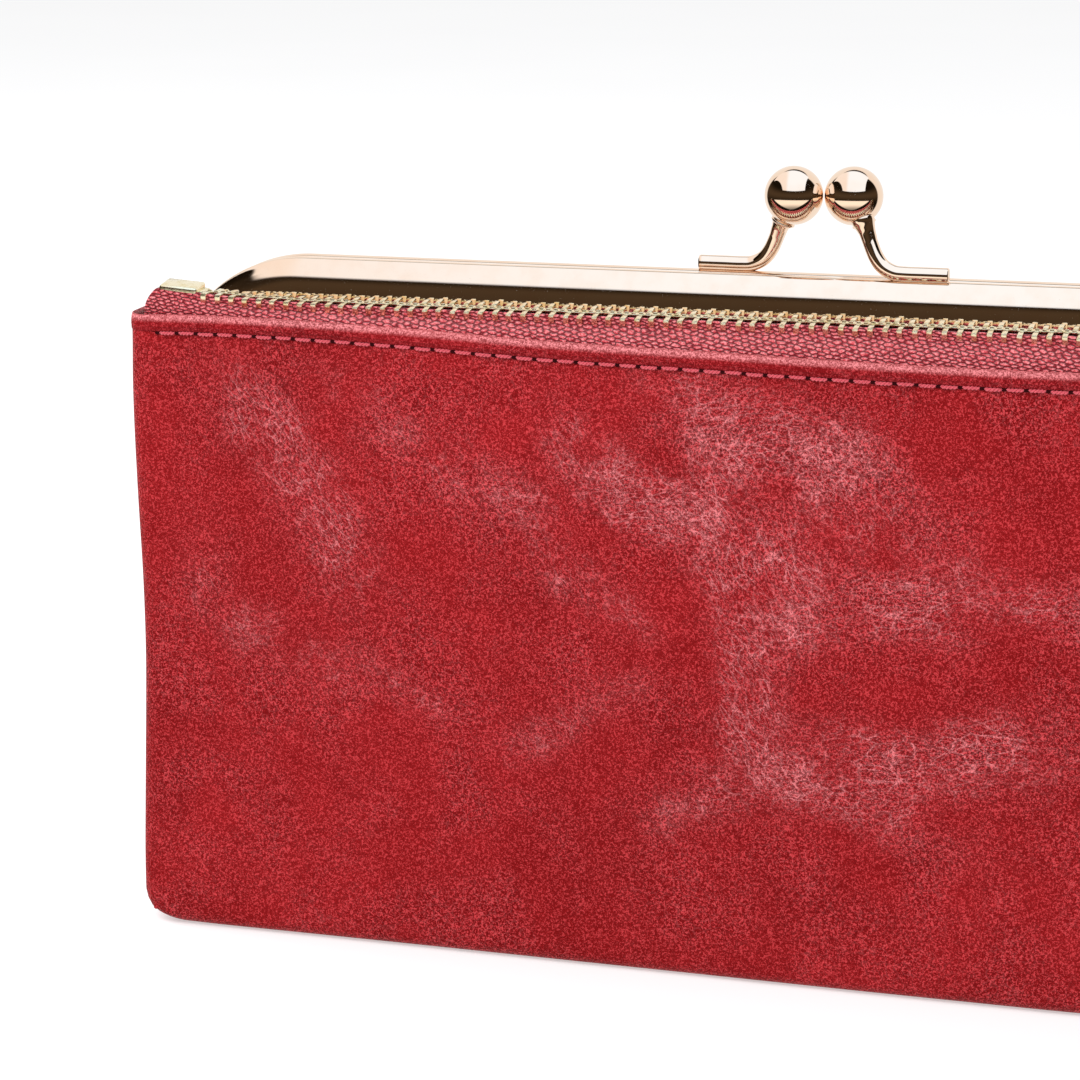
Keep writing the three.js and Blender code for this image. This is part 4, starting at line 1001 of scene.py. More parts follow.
def back_leather():
    """One sheet from the base to the frame's rear half, in its closed shape; nothing here makes it bend at
    the hinge.
    """
    top = FRAME_TOP - FRAME_FACE + TUCK
    rows = shell_rows(back_bow, 1, np.linspace(FIRST_LEVEL, top, 70))
    tucked_half = FRAME_HALF - FRAME_FACE + TUCK
    for i, row in enumerate(rows):
        z = row[0, 2]
        share = smooth_step(z, 47, 56)
        if share <= 0:
            continue
        length = np.concatenate([[0], np.cumsum(np.hypot(*np.diff(row[:, :2], axis=0).T))])
        x = tucked_half * (1 - 2 * length / length[-1])
        corner = np.clip(1 - np.hypot(np.clip(np.abs(x) - (tucked_half - 16), 0, None),
                                      max(z - (FRAME_TOP - FRAME_CORNER + 2), 0)) / 19, 0, 1)
        edge = smooth_step(tucked_half - np.abs(x), 0.5, 22)
        full = back_bow(x, z)
        y = TUCKED_BACK + (full - TUCKED_BACK) * edge * (0.35 + 0.65 * corner if z > 78 else 1)
        upper = np.column_stack([x, y, np.full(len(x), z)])
        rows[i] = row + (upper - row) * share
    r = FRAME_CORNER - FRAME_FACE + TUCK
    for row in rows[-24:]:
        room = np.clip(np.abs(row[:, 0]) - (tucked_half - r), 0, r - 0.05)
        limit = top - r + np.sqrt(r * r - room * room)
        share = (row[:, 2] - (top - r)) / r
        row[:, 2] = np.where(row[:, 2] > top - r, top - r + share * (limit - top + r), row[:, 2])
    rows = pressed(rows, 1, 0.7, 80)
    piece("back_leather", Shells().add(leaf(rows, LEATHER)), RED_PLAIN,
          stands_for=("back_panel_lower", "back_panel_upper"), bends=BEND)


def base():
    """The base, let in between the rolled edges of the front and the rear."""
    xs = np.linspace(HALF - BASE_CORNER - 3, BASE_CORNER + 3 - HALF, 60)
    inset = BASE_ROLL + 3.4
    front = [(x, -(front_foot(x) - inset)) for x in xs[::-1]]
    rear = [(x, back_bow(x, 0) - inset) for x in xs]
    piece("base", Shells().add(moved(plate([front + rear], 1.4, 0.25), (0, 0, 1.0))), RED_PLAIN,
          stands_for=("base_panel",))


def gussets():
    """Pleated ends: each folds inward between the front and the rear."""
    for name, sign in (("left", -1), ("right", 1)):
        rows = []
        for z in np.linspace(2.2, 55, 40):
            lean = smooth_step(z, 46, 56)
            reach = 8.6 - 5.2 * lean
            ys = np.linspace(-reach, reach - 1.2 * (1 - lean), 25)
            fold = 3.6 * (1 - (ys / reach) ** 2) * (0.6 + 0.4 * z / 55)
            x = HALF - LEATHER - 0.5 - side_inset(z) - fold - 3.2 * lean
            rows.append(np.column_stack([sign * x, ys, np.full(25, z)]))
        rows = np.array(rows)
        rows = rows if sign > 0 else rows[:, ::-1]
        piece(f"{name}_gusset", Shells().add(leaf(rows, 1.2)), RED_PLAIN, stands_for=(f"gusset_{name}",))


def arch_outline(inset, foot):
    """The frame's outline, moved in by inset and standing on foot; (x, z) points."""
    half, top, r = FRAME_HALF - inset, FRAME_TOP - inset, FRAME_CORNER - inset
    right = arc((half - r, top - r), r, 0, 90, 14)
    left = arc((r - half, top - r), r, 90, 180, 14)
    return [(half, foot), *right, *left, (-half, foot)]


def divider():
    """The wall between the zipped pocket and the main compartment."""
    foot = DIVIDER[0][2]
    sheet = plate([arch_outline(FRAME_FACE - TUCK, foot)], LEATHER, 0.2)
    middle = (DIVIDER[0][1] + DIVIDER[1][1]) / 2
    wall = Shells().add(moved(sheet, (0, middle, 0), UPRIGHT))
    piece("divider", wall, RED_PLAIN, stands_for=("divider_wall",))


def linings():
    """Cloth inside the pocket and inside the main compartment."""
    node = span("pocket_lining")
    half, floor = node[1][0], node[0][2]
    under = LEATHER + CLOTH
    xs = np.linspace(-half, half, 60)
    tape_foot = span("zip_tape_front")[0][2]
    back_y = DIVIDER[0][1] - 0.9
    rows = []
    for z in np.linspace(tape_foot - 0.3, floor + 1.5, 24):
        rows.append([(x, -(front_bow(x, z) - under), z) for x in xs])
    for t in np.linspace(0.1, 0.9, 8):
        rows.append([(x, -(front_bow(x, 1) - under) * (1 - t) + back_y * t, floor + 0.6) for x in xs])
    for z in np.linspace(floor + 1.5, FRAME_TOP - FRAME_FACE - 0.3, 30):
        corner = FRAME_CORNER - FRAME_FACE
        high = max(z - (FRAME_TOP - FRAME_CORNER), 0)
        width = half - corner + math.sqrt(max(corner ** 2 - high ** 2, 1))
        rows.append([(x * min(width / half, 1), back_y, z) for x in xs])
    piece("pocket_cloth", Shells().add(leaf(np.array(rows), CLOTH)), LINING, stands_for=("pocket_lining",))

    node = span("main_lining_front")
    sheet = plate([arch_outline(FRAME_FACE + 0.3, node[0][2])], 0.6, 0.1)
    middle = (node[0][1] + node[1][1]) / 2
    cloth = Shells().add(moved(sheet, (0, middle, 0), UPRIGHT))
    piece("divider_cloth", cloth, LINING, stands_for=("main_lining_front",))

    top = span("main_lining_upper")[1][2]
    rows = []
    for z in np.linspace(node[0][2], top, 56):
        share = smooth_step(z, 46, 60)
        r = FRAME_CORNER - FRAME_FACE
        high = np.clip(z - (top - r), 0, r - 0.2)
        narrow = FRAME_HALF - FRAME_FACE - 0.5 - (r - math.sqrt(r * r - high * high))
        width = half + (narrow - half) * share
        x = np.linspace(width, -width, 80)
        edge = smooth_step(width - np.abs(x), 0, 20)
        lower = back_bow(x * 0.999, z) - under
        upper = 2.0 + (back_bow(x, z) - under - 2.0) * edge
        y = lower + (np.minimum(upper, lower) - lower) * share
        rows.append(np.column_stack([x, y, np.full(len(x), z)]))
    piece("rear_cloth", Shells().add(leaf(np.array(rows)[:, ::-1], CLOTH)), LINING,
          stands_for=("main_lining_back", "main_lining_upper"), bends=BEND)


def card_slots():
    """Three stepped leather slots, each with a thumb notch, and rows of stitches down the sides of the
    third.
    """
    for i in (1, 2, 3):
        low, high = span(f"card_slot_{i}")
        notch = arc((0, high[2] + 3.5), 8.5, -155.7, -24.3, 12)
        outline = [(low[0], low[2]), (high[0], low[2]), (high[0], high[2]), *notch[::-1], (low[0], high[2])]
        sheet = moved(plate([outline], high[1] - low[1], 0.15), (0, (low[1] + high[1]) / 2, 0), UPRIGHT)
        piece(f"card_pocket_{i}", Shells().add(sheet), SLOT_RED, stands_for=(f"card_slot_{i}",))
    low, high = span("card_slot_3")
    for name, x in (("left", low[0] + 2.5), ("right", high[0] - 2.5)):
        path = [(x, high[1] + 0.05, z) for z in np.linspace(low[2] + 2, high[2] - 2, 12)]
        stitches(f"slot_stitches_{name}", path, [(0, 1, 0)] * len(path), f"slot_holes_{name}",
                 slot="slot_leather", ply=0.18)


def stiffener():
    """The board that keeps the base flat."""
    low, high = span("base_board")
    xs = np.linspace(-high[0], high[0], 40)
    inset = LEATHER + 1.4
    outline = [(x, low[1]) for x in (xs[0], xs[-1])] + [(x, back_bow(x, 3) - inset) for x in xs[::-1]]
    sheet = plate([outline], high[2] - low[2], 0.25)
    board = Shells().add(moved(sheet, (0, 0, (low[2] + high[2]) / 2)))
    piece("base_stiffener", board, BOARD, stands_for=("base_board",))


# ---- Clasp frame ----

def frame_section(sign):
    """Depth and drop round one half's channel, closed above, with a leaning face and rolled lips."""
    face = -FRAME_FRONT
    wall = 0.8
    outside = rounded_path([
        (0.2, 1.6), (0.24, 0.8), (0.7, 0.26), (1.35, 0.04), (2.05, 0.0), (2.62, 0.26), (2.98, 0.85),
        (3.3, 1.7), (3.6, 2.6), (3.8, 3.4), (face + 0.03, 4.6), (face + 0.09, 5.8),
        (face + 0.04, FRAME_FACE - 0.5),
    ], 4)
    lip = [(face - 0.1, FRAME_FACE - 0.12), (face - 0.4, FRAME_FACE), (face - wall + 0.1, FRAME_FACE - 0.14)]
    inside = [(face - wall, 5.4), (3.02, 3.8), (2.7, 2.5), (2.2, 1.9), (1.5, 1.9), (1.0, 2.6), (1.0, 7.2)]
    back = [(0.9, FRAME_FACE - 0.1), (0.6, FRAME_FACE), (0.3, FRAME_FACE - 0.1), (0.2, 7.2), (0.2, 4.0)]
    section = [*outside, *lip, *inside, *back]
    return [(sign * y, n) for y, n in section]


def frame_path(foot):
    """Places along the frame's outside with the way inward: up one leg, over, and down the other."""
    half, top, r = FRAME_HALF, FRAME_TOP, FRAME_CORNER
    made = [((-half, z), (1.0, 0.0)) for z in np.linspace(foot, top - r, 8)[:-1]]
    for a in np.radians(np.linspace(180, 90, 33)):
        made.append(((r - half + r * math.cos(a), top - r + r * math.sin(a)), (-math.cos(a), -math.sin(a))))
    made += [((x, top), (0.0, -1.0)) for x in np.linspace(r - half, half - r, 24)[1:-1]]
    for a in np.radians(np.linspace(90, 0, 33)):
        made.append(((half - r + r * math.cos(a), top - r + r * math.sin(a)), (-math.cos(a), -math.sin(a))))
    made += [((half, z), (-1.0, 0.0)) for z in np.linspace(top - r, foot, 8)[1:]]
    return made


LUG_RADIUS, LUG_THICKNESS, LUG_GAP = 3.8, 1.4, 0.3
RIVET_HOLE = 1.25


def frame_half(name, sign, body):
    """One half of the clasp frame, with the lugs that its rivets go through."""
    foot = HINGE_Z + LUG_RADIUS + 0.6
    section = frame_section(sign)
    rows = []
    for (x, z), (ix, iz) in frame_path(foot):
        rows.append([(x + ix * n, y, z + iz * n) for y, n in section])
    half = Shells().add(skin(rows))
    inward = 0 if sign < 0 else LUG_THICKNESS + LUG_GAP
    ear = arc((0, HINGE_Z), LUG_RADIUS, -200, 20, 24)
    neck = [(-FRAME_FRONT * 0.97, foot + 2.2), (0.2, foot + 2.2)]
    if sign < 0:
        neck = [(-y, z) for y, z in neck[::-1]]
    hole = arc((0, HINGE_Z), RIVET_HOLE, 0, 345, 23)
    for end in (-1, 1):
        x = end * (FRAME_HALF - inward - LUG_THICKNESS / 2)
        half.add(moved(plate([ear + neck, hole], LUG_THICKNESS, 0.18), (x, 0, 0), SIDEWAYS))
    piece(name, half, GOLD, body, (f"{name.split('_')[0]}_frame",), crisp=50)


def frame_cord(name, body):
    """The paper cord that wedges the leather in one half's channel."""
    node = span(name)
    mid = (node[0][1] + node[1][1]) / 2
    foot = node[0][2]
    rows = []
    for (x, z), (ix, iz) in frame_path(foot):
        ring = [(0.62 * math.cos(a), 3.3 + 1.15 * math.sin(a)) for a in np.radians(np.arange(0, 360, 30))]
        rows.append([(x + ix * n, mid + y, z + iz * n) for y, n in ring])
    piece(f"{name}_paper", Shells().add(skin(rows)), BOARD, body, (name,))


def hinge_rivets():
    """Domed rivets with a set tail inside."""
    for side, sign in (("left", -1), ("right", 1)):
        low, high = HINGE[side]
        outer, inner = (high[0], low[0]) if sign > 0 else (-low[0], -high[0])
        face, tail = outer - 0.8, inner + 0.8
        dome = [(0, outer), (0.7, outer - 0.04), (1.35, outer - 0.2), (1.85, outer - 0.45),
                (2.1, face + 0.12), (2.05, face)]
        set_end = [(2.0, tail), (2.1, tail - 0.15), (1.8, inner + 0.15), (0.8, inner), (0.6, inner + 0.25),
                   (0, inner + 0.3)]
        profile = [*dome, (1.15, face), (1.15, tail), *set_end]
        rivet = moved(turned(profile, 36), (0, 0, HINGE_Z), turn_about("Y", 90 * sign))
        piece(f"frame_rivet_{side}", Shells().add(rivet), GOLD, "root", (f"hinge_rivet_{side}",))


ROD = 1.11  # radius of the ball's rod
ROD_SUNK = 0.2  # how far the rod is brazed into the crest
BALL_CLOSER = 0.12  # the plated balls nearly touch
BALL_PLATING = 0.04


def ball_clasp(side, sign, body):
    """A ball on a bent rod that lies along the crest of its half of the frame."""
    low, high = BALLS[side]
    ball = (low + high) / 2 - np.array([sign * BALL_CLOSER, 0, 0])
    rod_y = -2.05 if sign > 0 else 2.05
    rod_z = FRAME_TOP + ROD - ROD_SUNK
    stops = [  # from the rod's end: out from the middle, share of the rod's own depth, rise
        (18.3, 1, 0), (15, 1, 0), (12.2, 1, 0), (10.6, 1, 0.16), (9.05, 0.93, 0.95), (7.95, 0.82, 2.3),
        (7.1, 0.66, 4.1), (6.5, 0.5, 5.7), (5.75, 0.32, 7.4),
    ]
    path = rounded_path([(sign * x, rod_y * share, rod_z + rise) for x, share, rise in stops], 10)
    length = np.concatenate([[0], np.cumsum(np.linalg.norm(np.diff(path, axis=0), axis=1))])
    left = length[-1] - length
    swell = np.interp(left, [0, 0.5, 1.2, 2.0, 3.4], [0.6, 0.55, 0.3, 0.1, 0.0])
    arm = Shells().add(tube(path, ROD + swell, 28, rounded=0.22))
    piece(f"clasp_rod_{side}", arm, GOLD, body, (f"clasp_arm_{side}",), crisp=60)

    foot_way = unit(np.array([sign * 0.42, -0.12 * sign, -1.0]))
    angles = np.radians(np.linspace(90, -90, 49))
    radius = BALL_RADIUS + BALL_PLATING
    profile = [(radius * math.cos(a), radius * math.sin(a)) for a in angles]
    profile[0], profile[-1] = (0, radius), (0, -radius)
    seat = Vector((0, 0, -1)).rotation_difference(Vector(foot_way)).to_matrix()
    knob = Shells().add(moved(turned(profile, 72), ball, seat))
    collar = [(0, 0.5), (1.5, 0.35), (1.78, 0.1), (1.72, -0.15), (1.45, -0.32), (0, -0.4)]
    knob.add(moved(turned(collar, 32), ball + foot_way * (BALL_RADIUS + 0.02), seat @ turn_about("X", 180)))
    piece(f"clasp_knob_{side}", knob, GOLD, body, (f"clasp_ball_{side}",), crisp=70)


# ---- Zip ----

TAPE_THICK = 0.5
PLATE_THICK = 0.9  # of the slider's two plates
CHAIN_ROLL = 10  # degrees the chain leans forward once clear of its closed end


def lean_of(x):
    return CHAIN_ROLL * smooth_step(x, 4 - HALF, 45 - HALF)


def rolled(x, reach):
    """How far the lean lifts what stands that far behind the chain's middle."""
    return reach * math.sin(math.radians(float(lean_of(x))))


def tape_rows(side, count=220):
    """Surface of one side's tape from its sewn edge up and over to the teeth."""
    foot = span("zip_tape_front")[0][2]
    sewn_back = span("zip_tape_back")[1][1]
    rows = []
    for t in np.linspace(0, 1, 19):
        row = []
        for u in np.linspace(-1, 1, count):
            x = u * (HALF - 1.2 - 1.9 * smooth_step(t, 0.35, 1.0))
            lift, rise = hem_lift(x), chain_lift(x)
            edge = ZIP_Y + side * 1.5
            if side < 0:
                sewn = -(front_bow(x, HEM_TOP) - LEATHER - 0.15)
                crest = CHAIN_MID + rise - rolled(x, 2.2)
                lower, upper = (sewn + 0.12, HEM_TOP - 0.4 + lift), (edge - 0.95, crest - 1.0)
                stops = [(sewn, foot), (sewn, HEM_TOP - 2.4 + lift), lower,
                         ((lower[0] + upper[0]) / 2 - 0.25, (lower[1] + upper[1]) / 2 + 0.3), upper,
                         (edge - 0.72, crest - 0.15), (edge - 0.6, crest + 0.4),
                         (edge, CHAIN_MID + 0.3 - rolled(x, 1.5) + rise)]
            else:
                sewn = sewn_back
                stops = [(sewn, foot), (sewn, HEM_TOP), (sewn - 0.05, CHAIN_MID - 1.3 + rise),
                         (sewn - 0.5, CHAIN_MID + rise), (edge + 0.5, CHAIN_MID + rolled(x, 2.0) + rise),
                         (edge, CHAIN_MID + rolled(x, 1.5) + rise)]
            places = np.linspace(0, 1, len(stops))
            y = np.interp(t, places, [s[0] for s in stops])
            z = np.interp(t, places, [s[1] for s in stops])
            row.append((x, y, z))
        rows.append(row)
    rows = np.array(rows)
    for _ in range(2):  # ease the bends
        rows[1:-1] = (rows[:-2] + 2 * rows[1:-1] + rows[2:]) / 4
    return rows


def zip_tapes():
    for name, side in (("front", -1), ("back", 1)):
        rows = tape_rows(side)
        rows = rows if side < 0 else rows[:, ::-1]
        piece(f"tape_{name}", Shells().add(leaf(rows, TAPE_THICK)), TAPE, stands_for=(f"zip_tape_{name}",))


def tooth(side):
    """One tooth: legs clamped on the tape, a neck, and a head that locks between its neighbours."""
    parts = [
        block((-0.41, -2.8, -0.85), (0.41, -1.9, 0.4), 0.1),
        block((-0.4, -2.68, -0.2), (0.4, -0.8, 0.5), 0.12),
        block((-0.3, -1.2, -0.3), (0.3, 0.0, 0.42), 0.08),
        block((-0.55, -0.6, -0.45), (0.55, 0.6, 0.5), 0.12),
        block((-0.3, -0.1, 0.2), (0.3, 0.3, 0.66), 0.08),
    ]
    made = Shells()
    for points, faces in parts:
        nod = np.array((0, 0.16, 0)) * points[:, 2:]
        made.add((points * (1, -side, 1) - nod, faces))
    return np.array(made.points), made.faces


def zip_teeth():
    for name, side in (("front", -1), ("back", 1)):
        low, high = span(f"zip_teeth_{name}")
        first = low[0] + TOOTH_PITCH / 2 * (1 if side < 0 else 2)
        row, pattern = Shells(), tooth(side)
        count = int((high[0] - first - 0.6) // TOOTH_PITCH) + 1
        for i in range(count):
            x = first + i * TOOTH_PITCH
            slope = math.degrees(math.atan((chain_lift(x + 0.5) - chain_lift(x - 0.5))))
            yaw = turn_about("Z", 1.2 * math.sin(i * 3.7 + side))
            tilt = turn_about("Y", -slope + 1.4 * math.sin(i * 5.1)) @ yaw
            tilt = turn_about("X", float(lean_of(x)) + 1.5 * math.sin(i * 2.9)) @ tilt
            row.add(moved(pattern, (x, ZIP_Y, CHAIN_MID + chain_lift(x) + 0.05 * math.sin(i * 7.9)), tilt))
        piece(f"teeth_{name}", row, BRASS, stands_for=(f"zip_teeth_{name}",))


def zip_stops():
    """The wide stop at the closed end, and the two small ones at the other."""
    low, high = STOP
    lift = chain_lift((low[0] + high[0]) / 2)
    slope = turn_about("Y", 4.0) @ turn_about("X", 7.0)
    middle, size = (low + high) / 2 + (0, 0, lift), (high - low) / 2
    tongue = block((size[0] - 0.2, -1.3, -0.7), (size[0] + 1.0, 1.3, 0.6), 0.2)
    lip = block((-1.4, -size[1] - 0.12, -0.6), (1.4, -size[1] + 0.3, 0.1), 0.1)
    clip = Shells().add(moved(block(-size + (0, 0, -0.25), size, 0.34, 3), middle, slope))
    clip.add(moved(tongue, middle - (0, 0, 0.1), slope)).add(moved(lip, middle, slope))
    piece("bottom_stop", clip, BRASS, stands_for=("zip_bottom_stop",))
    for name in ("front", "back"):
        low, high = span(f"zip_top_stop_{name}")
        clip = Shells().add(block(low, high, 0.3, 3))
        step = (high - low) * (0.3, 1, 1)
        clip.add(block(low + (0.8, -0.08, 0.3), low + (0.8, -0.08, 0.3) + step + (0, 0.16, -0.1), 0.15))
        piece(f"top_stop_{name}", clip, BRASS, stands_for=(f"zip_top_stop_{name}",))


def slider():
    """The slider: two plates joined by a wedge, with side flanges and a bridge for the pull."""
    low, high = SLIDER
    length, half = (high[0] - low[0]) / 2, (high[1] - low[1]) / 2
    foot = span("zip_slider_plate")[0][2]
    plate_foot = CHAIN_TOP + 0.4
    boat = [*arc((-length + 1.2, -half + 1.2), 1.2, 180, 270, 5),
            *arc((length - 3.2, -half + 1.6), 1.6, -90, -50, 4), *arc((length - 1.1, 0), 1.1, -50, 50, 6),
            *arc((length - 3.2, half - 1.6), 1.6, 50, 90, 4),
            *arc((-length + 1.2, half - 1.2), 1.2, 90, 180, 5)]
    made = Shells()
    centre = (SLIDER_AT, ZIP_Y, 0)
    made.add(moved(plate([boat], PLATE_THICK, 0.28), (SLIDER_AT, ZIP_Y, plate_foot + PLATE_THICK / 2)))
    small = [(x, y * 0.72) for x, y in boat]
    made.add(moved(plate([small], PLATE_THICK, 0.25), (SLIDER_AT, ZIP_Y, foot + PLATE_THICK / 2)))
    for side in (-1, 1):
        y = sorted((side * half, side * (half - 0.6)))
        flange = block((-length + 1.2, y[0], low[2]), (length - 2.6, y[1], plate_foot + 0.3), 0.18)
        made.add(moved(flange, centre))
    wedge = [(length - 1.0, 0), (length - 2.3, 0.65), (length - 3.4, 0), (length - 2.3, -0.65)]
    wedge_middle = (plate_foot + foot + PLATE_THICK) / 2
    made.add(moved(plate([wedge], plate_foot - foot, 0.1), (SLIDER_AT, ZIP_Y, wedge_middle)))
    top = high[2] - 0.45
    rising = [(-2.75, 0, plate_foot + 0.6), (-2.62, 0, top - 0.9), (-1.9, 0, top - 0.08)]
    falling = [(-x, 0, z) for x, _, z in rising[::-1]]
    bridge = rounded_path([*rising, (0, 0, top + 0.04), *falling], 6)
    way = unit(np.gradient(bridge, axis=0))
    across = np.array([(0, 1, 0)] * len(bridge))
    up = np.cross(way, across)
    ring = rounded_path([(0.9, 0.2), (0.55, 0.45), (-0.55, 0.45), (-0.9, 0.2), (-0.9, -0.2), (-0.55, -0.45),
                         (0.55, -0.45), (0.9, -0.2)], 2, closed=True)
    rows = [[p + a * s + u * t for s, t in ring] for p, a, u in zip(bridge, across, up)]
    made.add(moved(skin(rows), centre))
    piece("slider_body", made, BRASS, "slider", ("zip_slider", "zip_slider_plate"), crisp=50)


def pull():
    """The pull: forked at its pin, pierced, and thickened round its rounded end."""
    low, high = PULL
    width = high[1] - low[1]
    half = width / 2
    middle = np.array([SLIDER_AT, (low[1] + high[1]) / 2, (low[2] + high[2]) / 2])
    tip = low[0] - SLIDER_AT + half
    fork = 4.4
    outline = [(0.5, -half + 0.5), (0.3, -half + 0.1), (-0.5, -half), *arc((tip, 0), half, -90, -270, 24),
               (-0.5, half), (0.3, half - 0.1), (0.5, half - 0.5), (0.5, 1.45), (-fork + 0.5, 1.45),
               (-fork, 1.0), (-fork, -1.0), (-fork + 0.5, -1.45), (0.5, -1.45)]
    window = arc((-fork - 2.6, 0), 1.1, 90, -90, 8) + arc((-fork - 6.0, 0), 1.1, -90, -270, 8)
    eyelet = arc((tip + 0.2, 0), 1.25, 0, 345, 23)
    blade = Shells().add(moved(plate([outline, window, eyelet], 1.0, 0.22), middle))
    for z in (0.42, -0.42):
        rim = [(x, y, z) for x, y in arc((tip + 0.2, 0), 1.6, 0, 345, 23)]
        blade.add(moved(tube(rim, 0.22, 8, closed=True), middle))
    pin = [(0, -half + 0.6, 0), (0, 0, 0), (0, half - 0.6, 0)]
    blade.add(moved(tube(pin, 0.6, 16, rounded=0.15), middle))
    piece("pull_tag", blade, BRASS, "pull", ("zip_pull",), crisp=50)


# ---- Ring tab, ring, snap hook and strap ----

RING_Y, RING_MID = (RING[0][1] + RING[1][1]) / 2, (RING[0][2] + RING[1][2]) / 2
RING_WIRE = 0.9
RING_BAR = RING[0][0] + RING_WIRE
HOOK_X = (HOOK[0][0] + HOOK[1][0]) / 2
EYE_WIRE = 0.95
STRAP_THICK, STRAP_EDGE = 1.4, 0.45  # thickness, and how deep its edge is rounded
STRAP_STITCH, STRAP_THREAD = 2.9, 0.19


def ring_tab():
    """A folded leather tab round the ring's bar, sewn, and riveted at its root."""
    inside, t = RING_WIRE + 0.3, 1.2
    outside = inside + t
    start = HALF - 0.9
    flat = RING_BAR - 1.6  # where the flat sides begin to go round the bar
    places = [start, *(start + (flat - start) * k / 4 for k in (1, 2, 3)), flat]
    line = [(x, -outside) for x in places] + arc((RING_BAR, 0), outside, -90, 90, 14)[1:]
    line += [(x, outside) for x in places[::-1]]
    width = (TAB[1][2] - TAB[0][2]) / 2
    rows = [[(x, RING_Y + y, RING_MID + v * width) for x, y in line] for v in np.linspace(-1, 1, 9)]
    piece("ring_tab_leather", Shells().add(leaf(np.array(rows), t)), RED_PLAIN, stands_for=("ring_tab",))
    for side, y in (("front", -outside), ("back", outside)):
        for end in (-1, 1):
            z = RING_MID + end * (width - 1.1)
            xs = np.linspace(HALF + 0.2, RING_BAR - 0.5, 6)
            path = [(x, RING_Y + y + 0.02 * np.sign(y), z) for x in xs]
            label = f"{side}_{'upper' if end > 0 else 'lower'}"
            stitches(f"tab_stitches_{label}", path, [(0, np.sign(y), 0)] * len(path), f"tab_holes_{label}",
                     pitch=2.0, ply=0.17)
    face = outside + 0.02
    dome = [(0, face + 0.62), (0.6, face + 0.56), (1.05, face + 0.36), (1.3, face + 0.1), (1.3, face - 0.05)]
    profile = [*dome, (0.8, face - 0.05), (0.8, -face + 0.05), *[(r, -h) for r, h in dome[::-1]]]
    rivet = moved(turned(profile, 28), (HALF + 1.8, RING_Y, RING_MID), turn_about("X", 90))
    piece("tab_rivet", Shells().add(rivet), HARDWARE, stands_for=("ring_tab_rivet",))


def d_ring():
    """A bent wire ring: a straight bar, level sides and a round end, split at the bar."""
    high = (RING[1][2] - RING[0][2]) / 2 - RING_WIRE
    straight, turn = 5.4, 1.6
    bar, far = RING_BAR, RING_BAR + straight
    line = [(bar, -0.15), (bar, -high + turn), *arc((bar + turn, -high + turn), turn, 180, 270, 6)[1:],
            *[(far + high * math.cos(a), high * math.sin(a)) for a in np.radians(np.linspace(-90, 90, 25))],
            *arc((bar + turn, high - turn), turn, 90, 180, 6), (bar, 0.15)]
    path = np.array([(x, RING_Y, RING_MID + z) for x, z in line])
    wire = Shells().add(tube(path, RING_WIRE, 18))
    piece("ring_wire", wire, HARDWARE, "ring", ("d_ring",))


def snap_hook():
    """The hook: a cast loop on a turned barrel, with a sprung gate and its thumb stud."""
    wire, half = 1.1, 3.5
    top, foot = HOOK[1][2] - wire, HOOK[1][2] - wire - 13
    gate_top = GATE[1][2]
    line = [(half, gate_top + 0.35)]
    line += arc((0, top - half), half, 0, 180, 14)[0 if top - half > gate_top + 0.4 else 1:]
    line += arc((0, foot + half), half, 180, 333, 14)
    path = rounded_path([(HOOK_X, RING_Y + y, z) for y, z in line], 3)
    length = np.linspace(0, 1, len(path))
    thick = through([(0, 0.95), (0.3, 1.12), (0.75, 1.15), (0.92, 1.3), (1, 1.15)])
    body = Shells().add(tube(path, thick(length), 18, rounded=0.2))
    barrel_foot = HOOK[0][2]
    barrel_top = foot - wire + 0.5
    tall = barrel_top - barrel_foot
    profile = [(0, tall + 0.9), (1.2, tall + 0.7), (1.7, tall + 0.1), (2.1, tall - 0.35), (2.4, tall - 0.7),
               (2.4, tall * 0.56), (2.1, tall * 0.5), (2.1, tall * 0.42), (2.4, tall * 0.36), (2.4, 0.35),
               (2.15, 0.05), (1.5, 0.0), (1.35, 0.12), (1.3, 1.6), (0, 1.7)]
    body.add(moved(turned(profile, 36), (HOOK_X, RING_Y, barrel_foot)))
    piece("hook_casting", body, HARDWARE, "hook", ("hook_body",), crisp=50)

    low, high = GATE
    x, y = (low[0] + high[0]) / 2, (low[1] + high[1]) / 2
    upright = [(x, y, z) for z in (low[2] + 0.25, (low[2] + high[2]) / 2, high[2] - 0.25)]
    bar = Shells().add(tube(upright, 0.98, 18, rounded=0.22))
    stud = [(0, 0), (0.55, 0), (0.55, 0.5), (0.8, 0.75), (0.75, 1.1), (0.4, 1.3), (0, 1.35)]
    bar.add(moved(turned(stud, 20), (x, y + 0.6, high[2] - 1.9), turn_about("X", -90)))
    piece("gate_bar", bar, HARDWARE, "gate", ("hook_gate",), crisp=50)


def swivel_eye():
    """A rounded oblong eye on a headed stem."""
    low, high = EYE
    half = (high[1] - low[1]) / 2 - EYE_WIRE
    bar = low[2] + EYE_WIRE
    eye_top = bar + 5
    line = oblong(-half, half, bar, eye_top, 1.5, 6)
    path = [(HOOK_X, RING_Y + y, z) for y, z in line]
    made = Shells().add(tube(path, EYE_WIRE, 16, closed=True))
    stem = [(0, -0.5), (1.6, -0.4), (1.75, 0.1), (1.3, 0.55), (1.0, 0.8), (1.0, high[2] - eye_top - 0.15),
            (0.85, high[2] - eye_top), (0, high[2] - eye_top)]
    made.add(moved(turned(stem, 28), (HOOK_X, RING_Y, eye_top)))
    piece("eye_casting", made, HARDWARE, "strap", ("swivel_eye",), crisp=50)


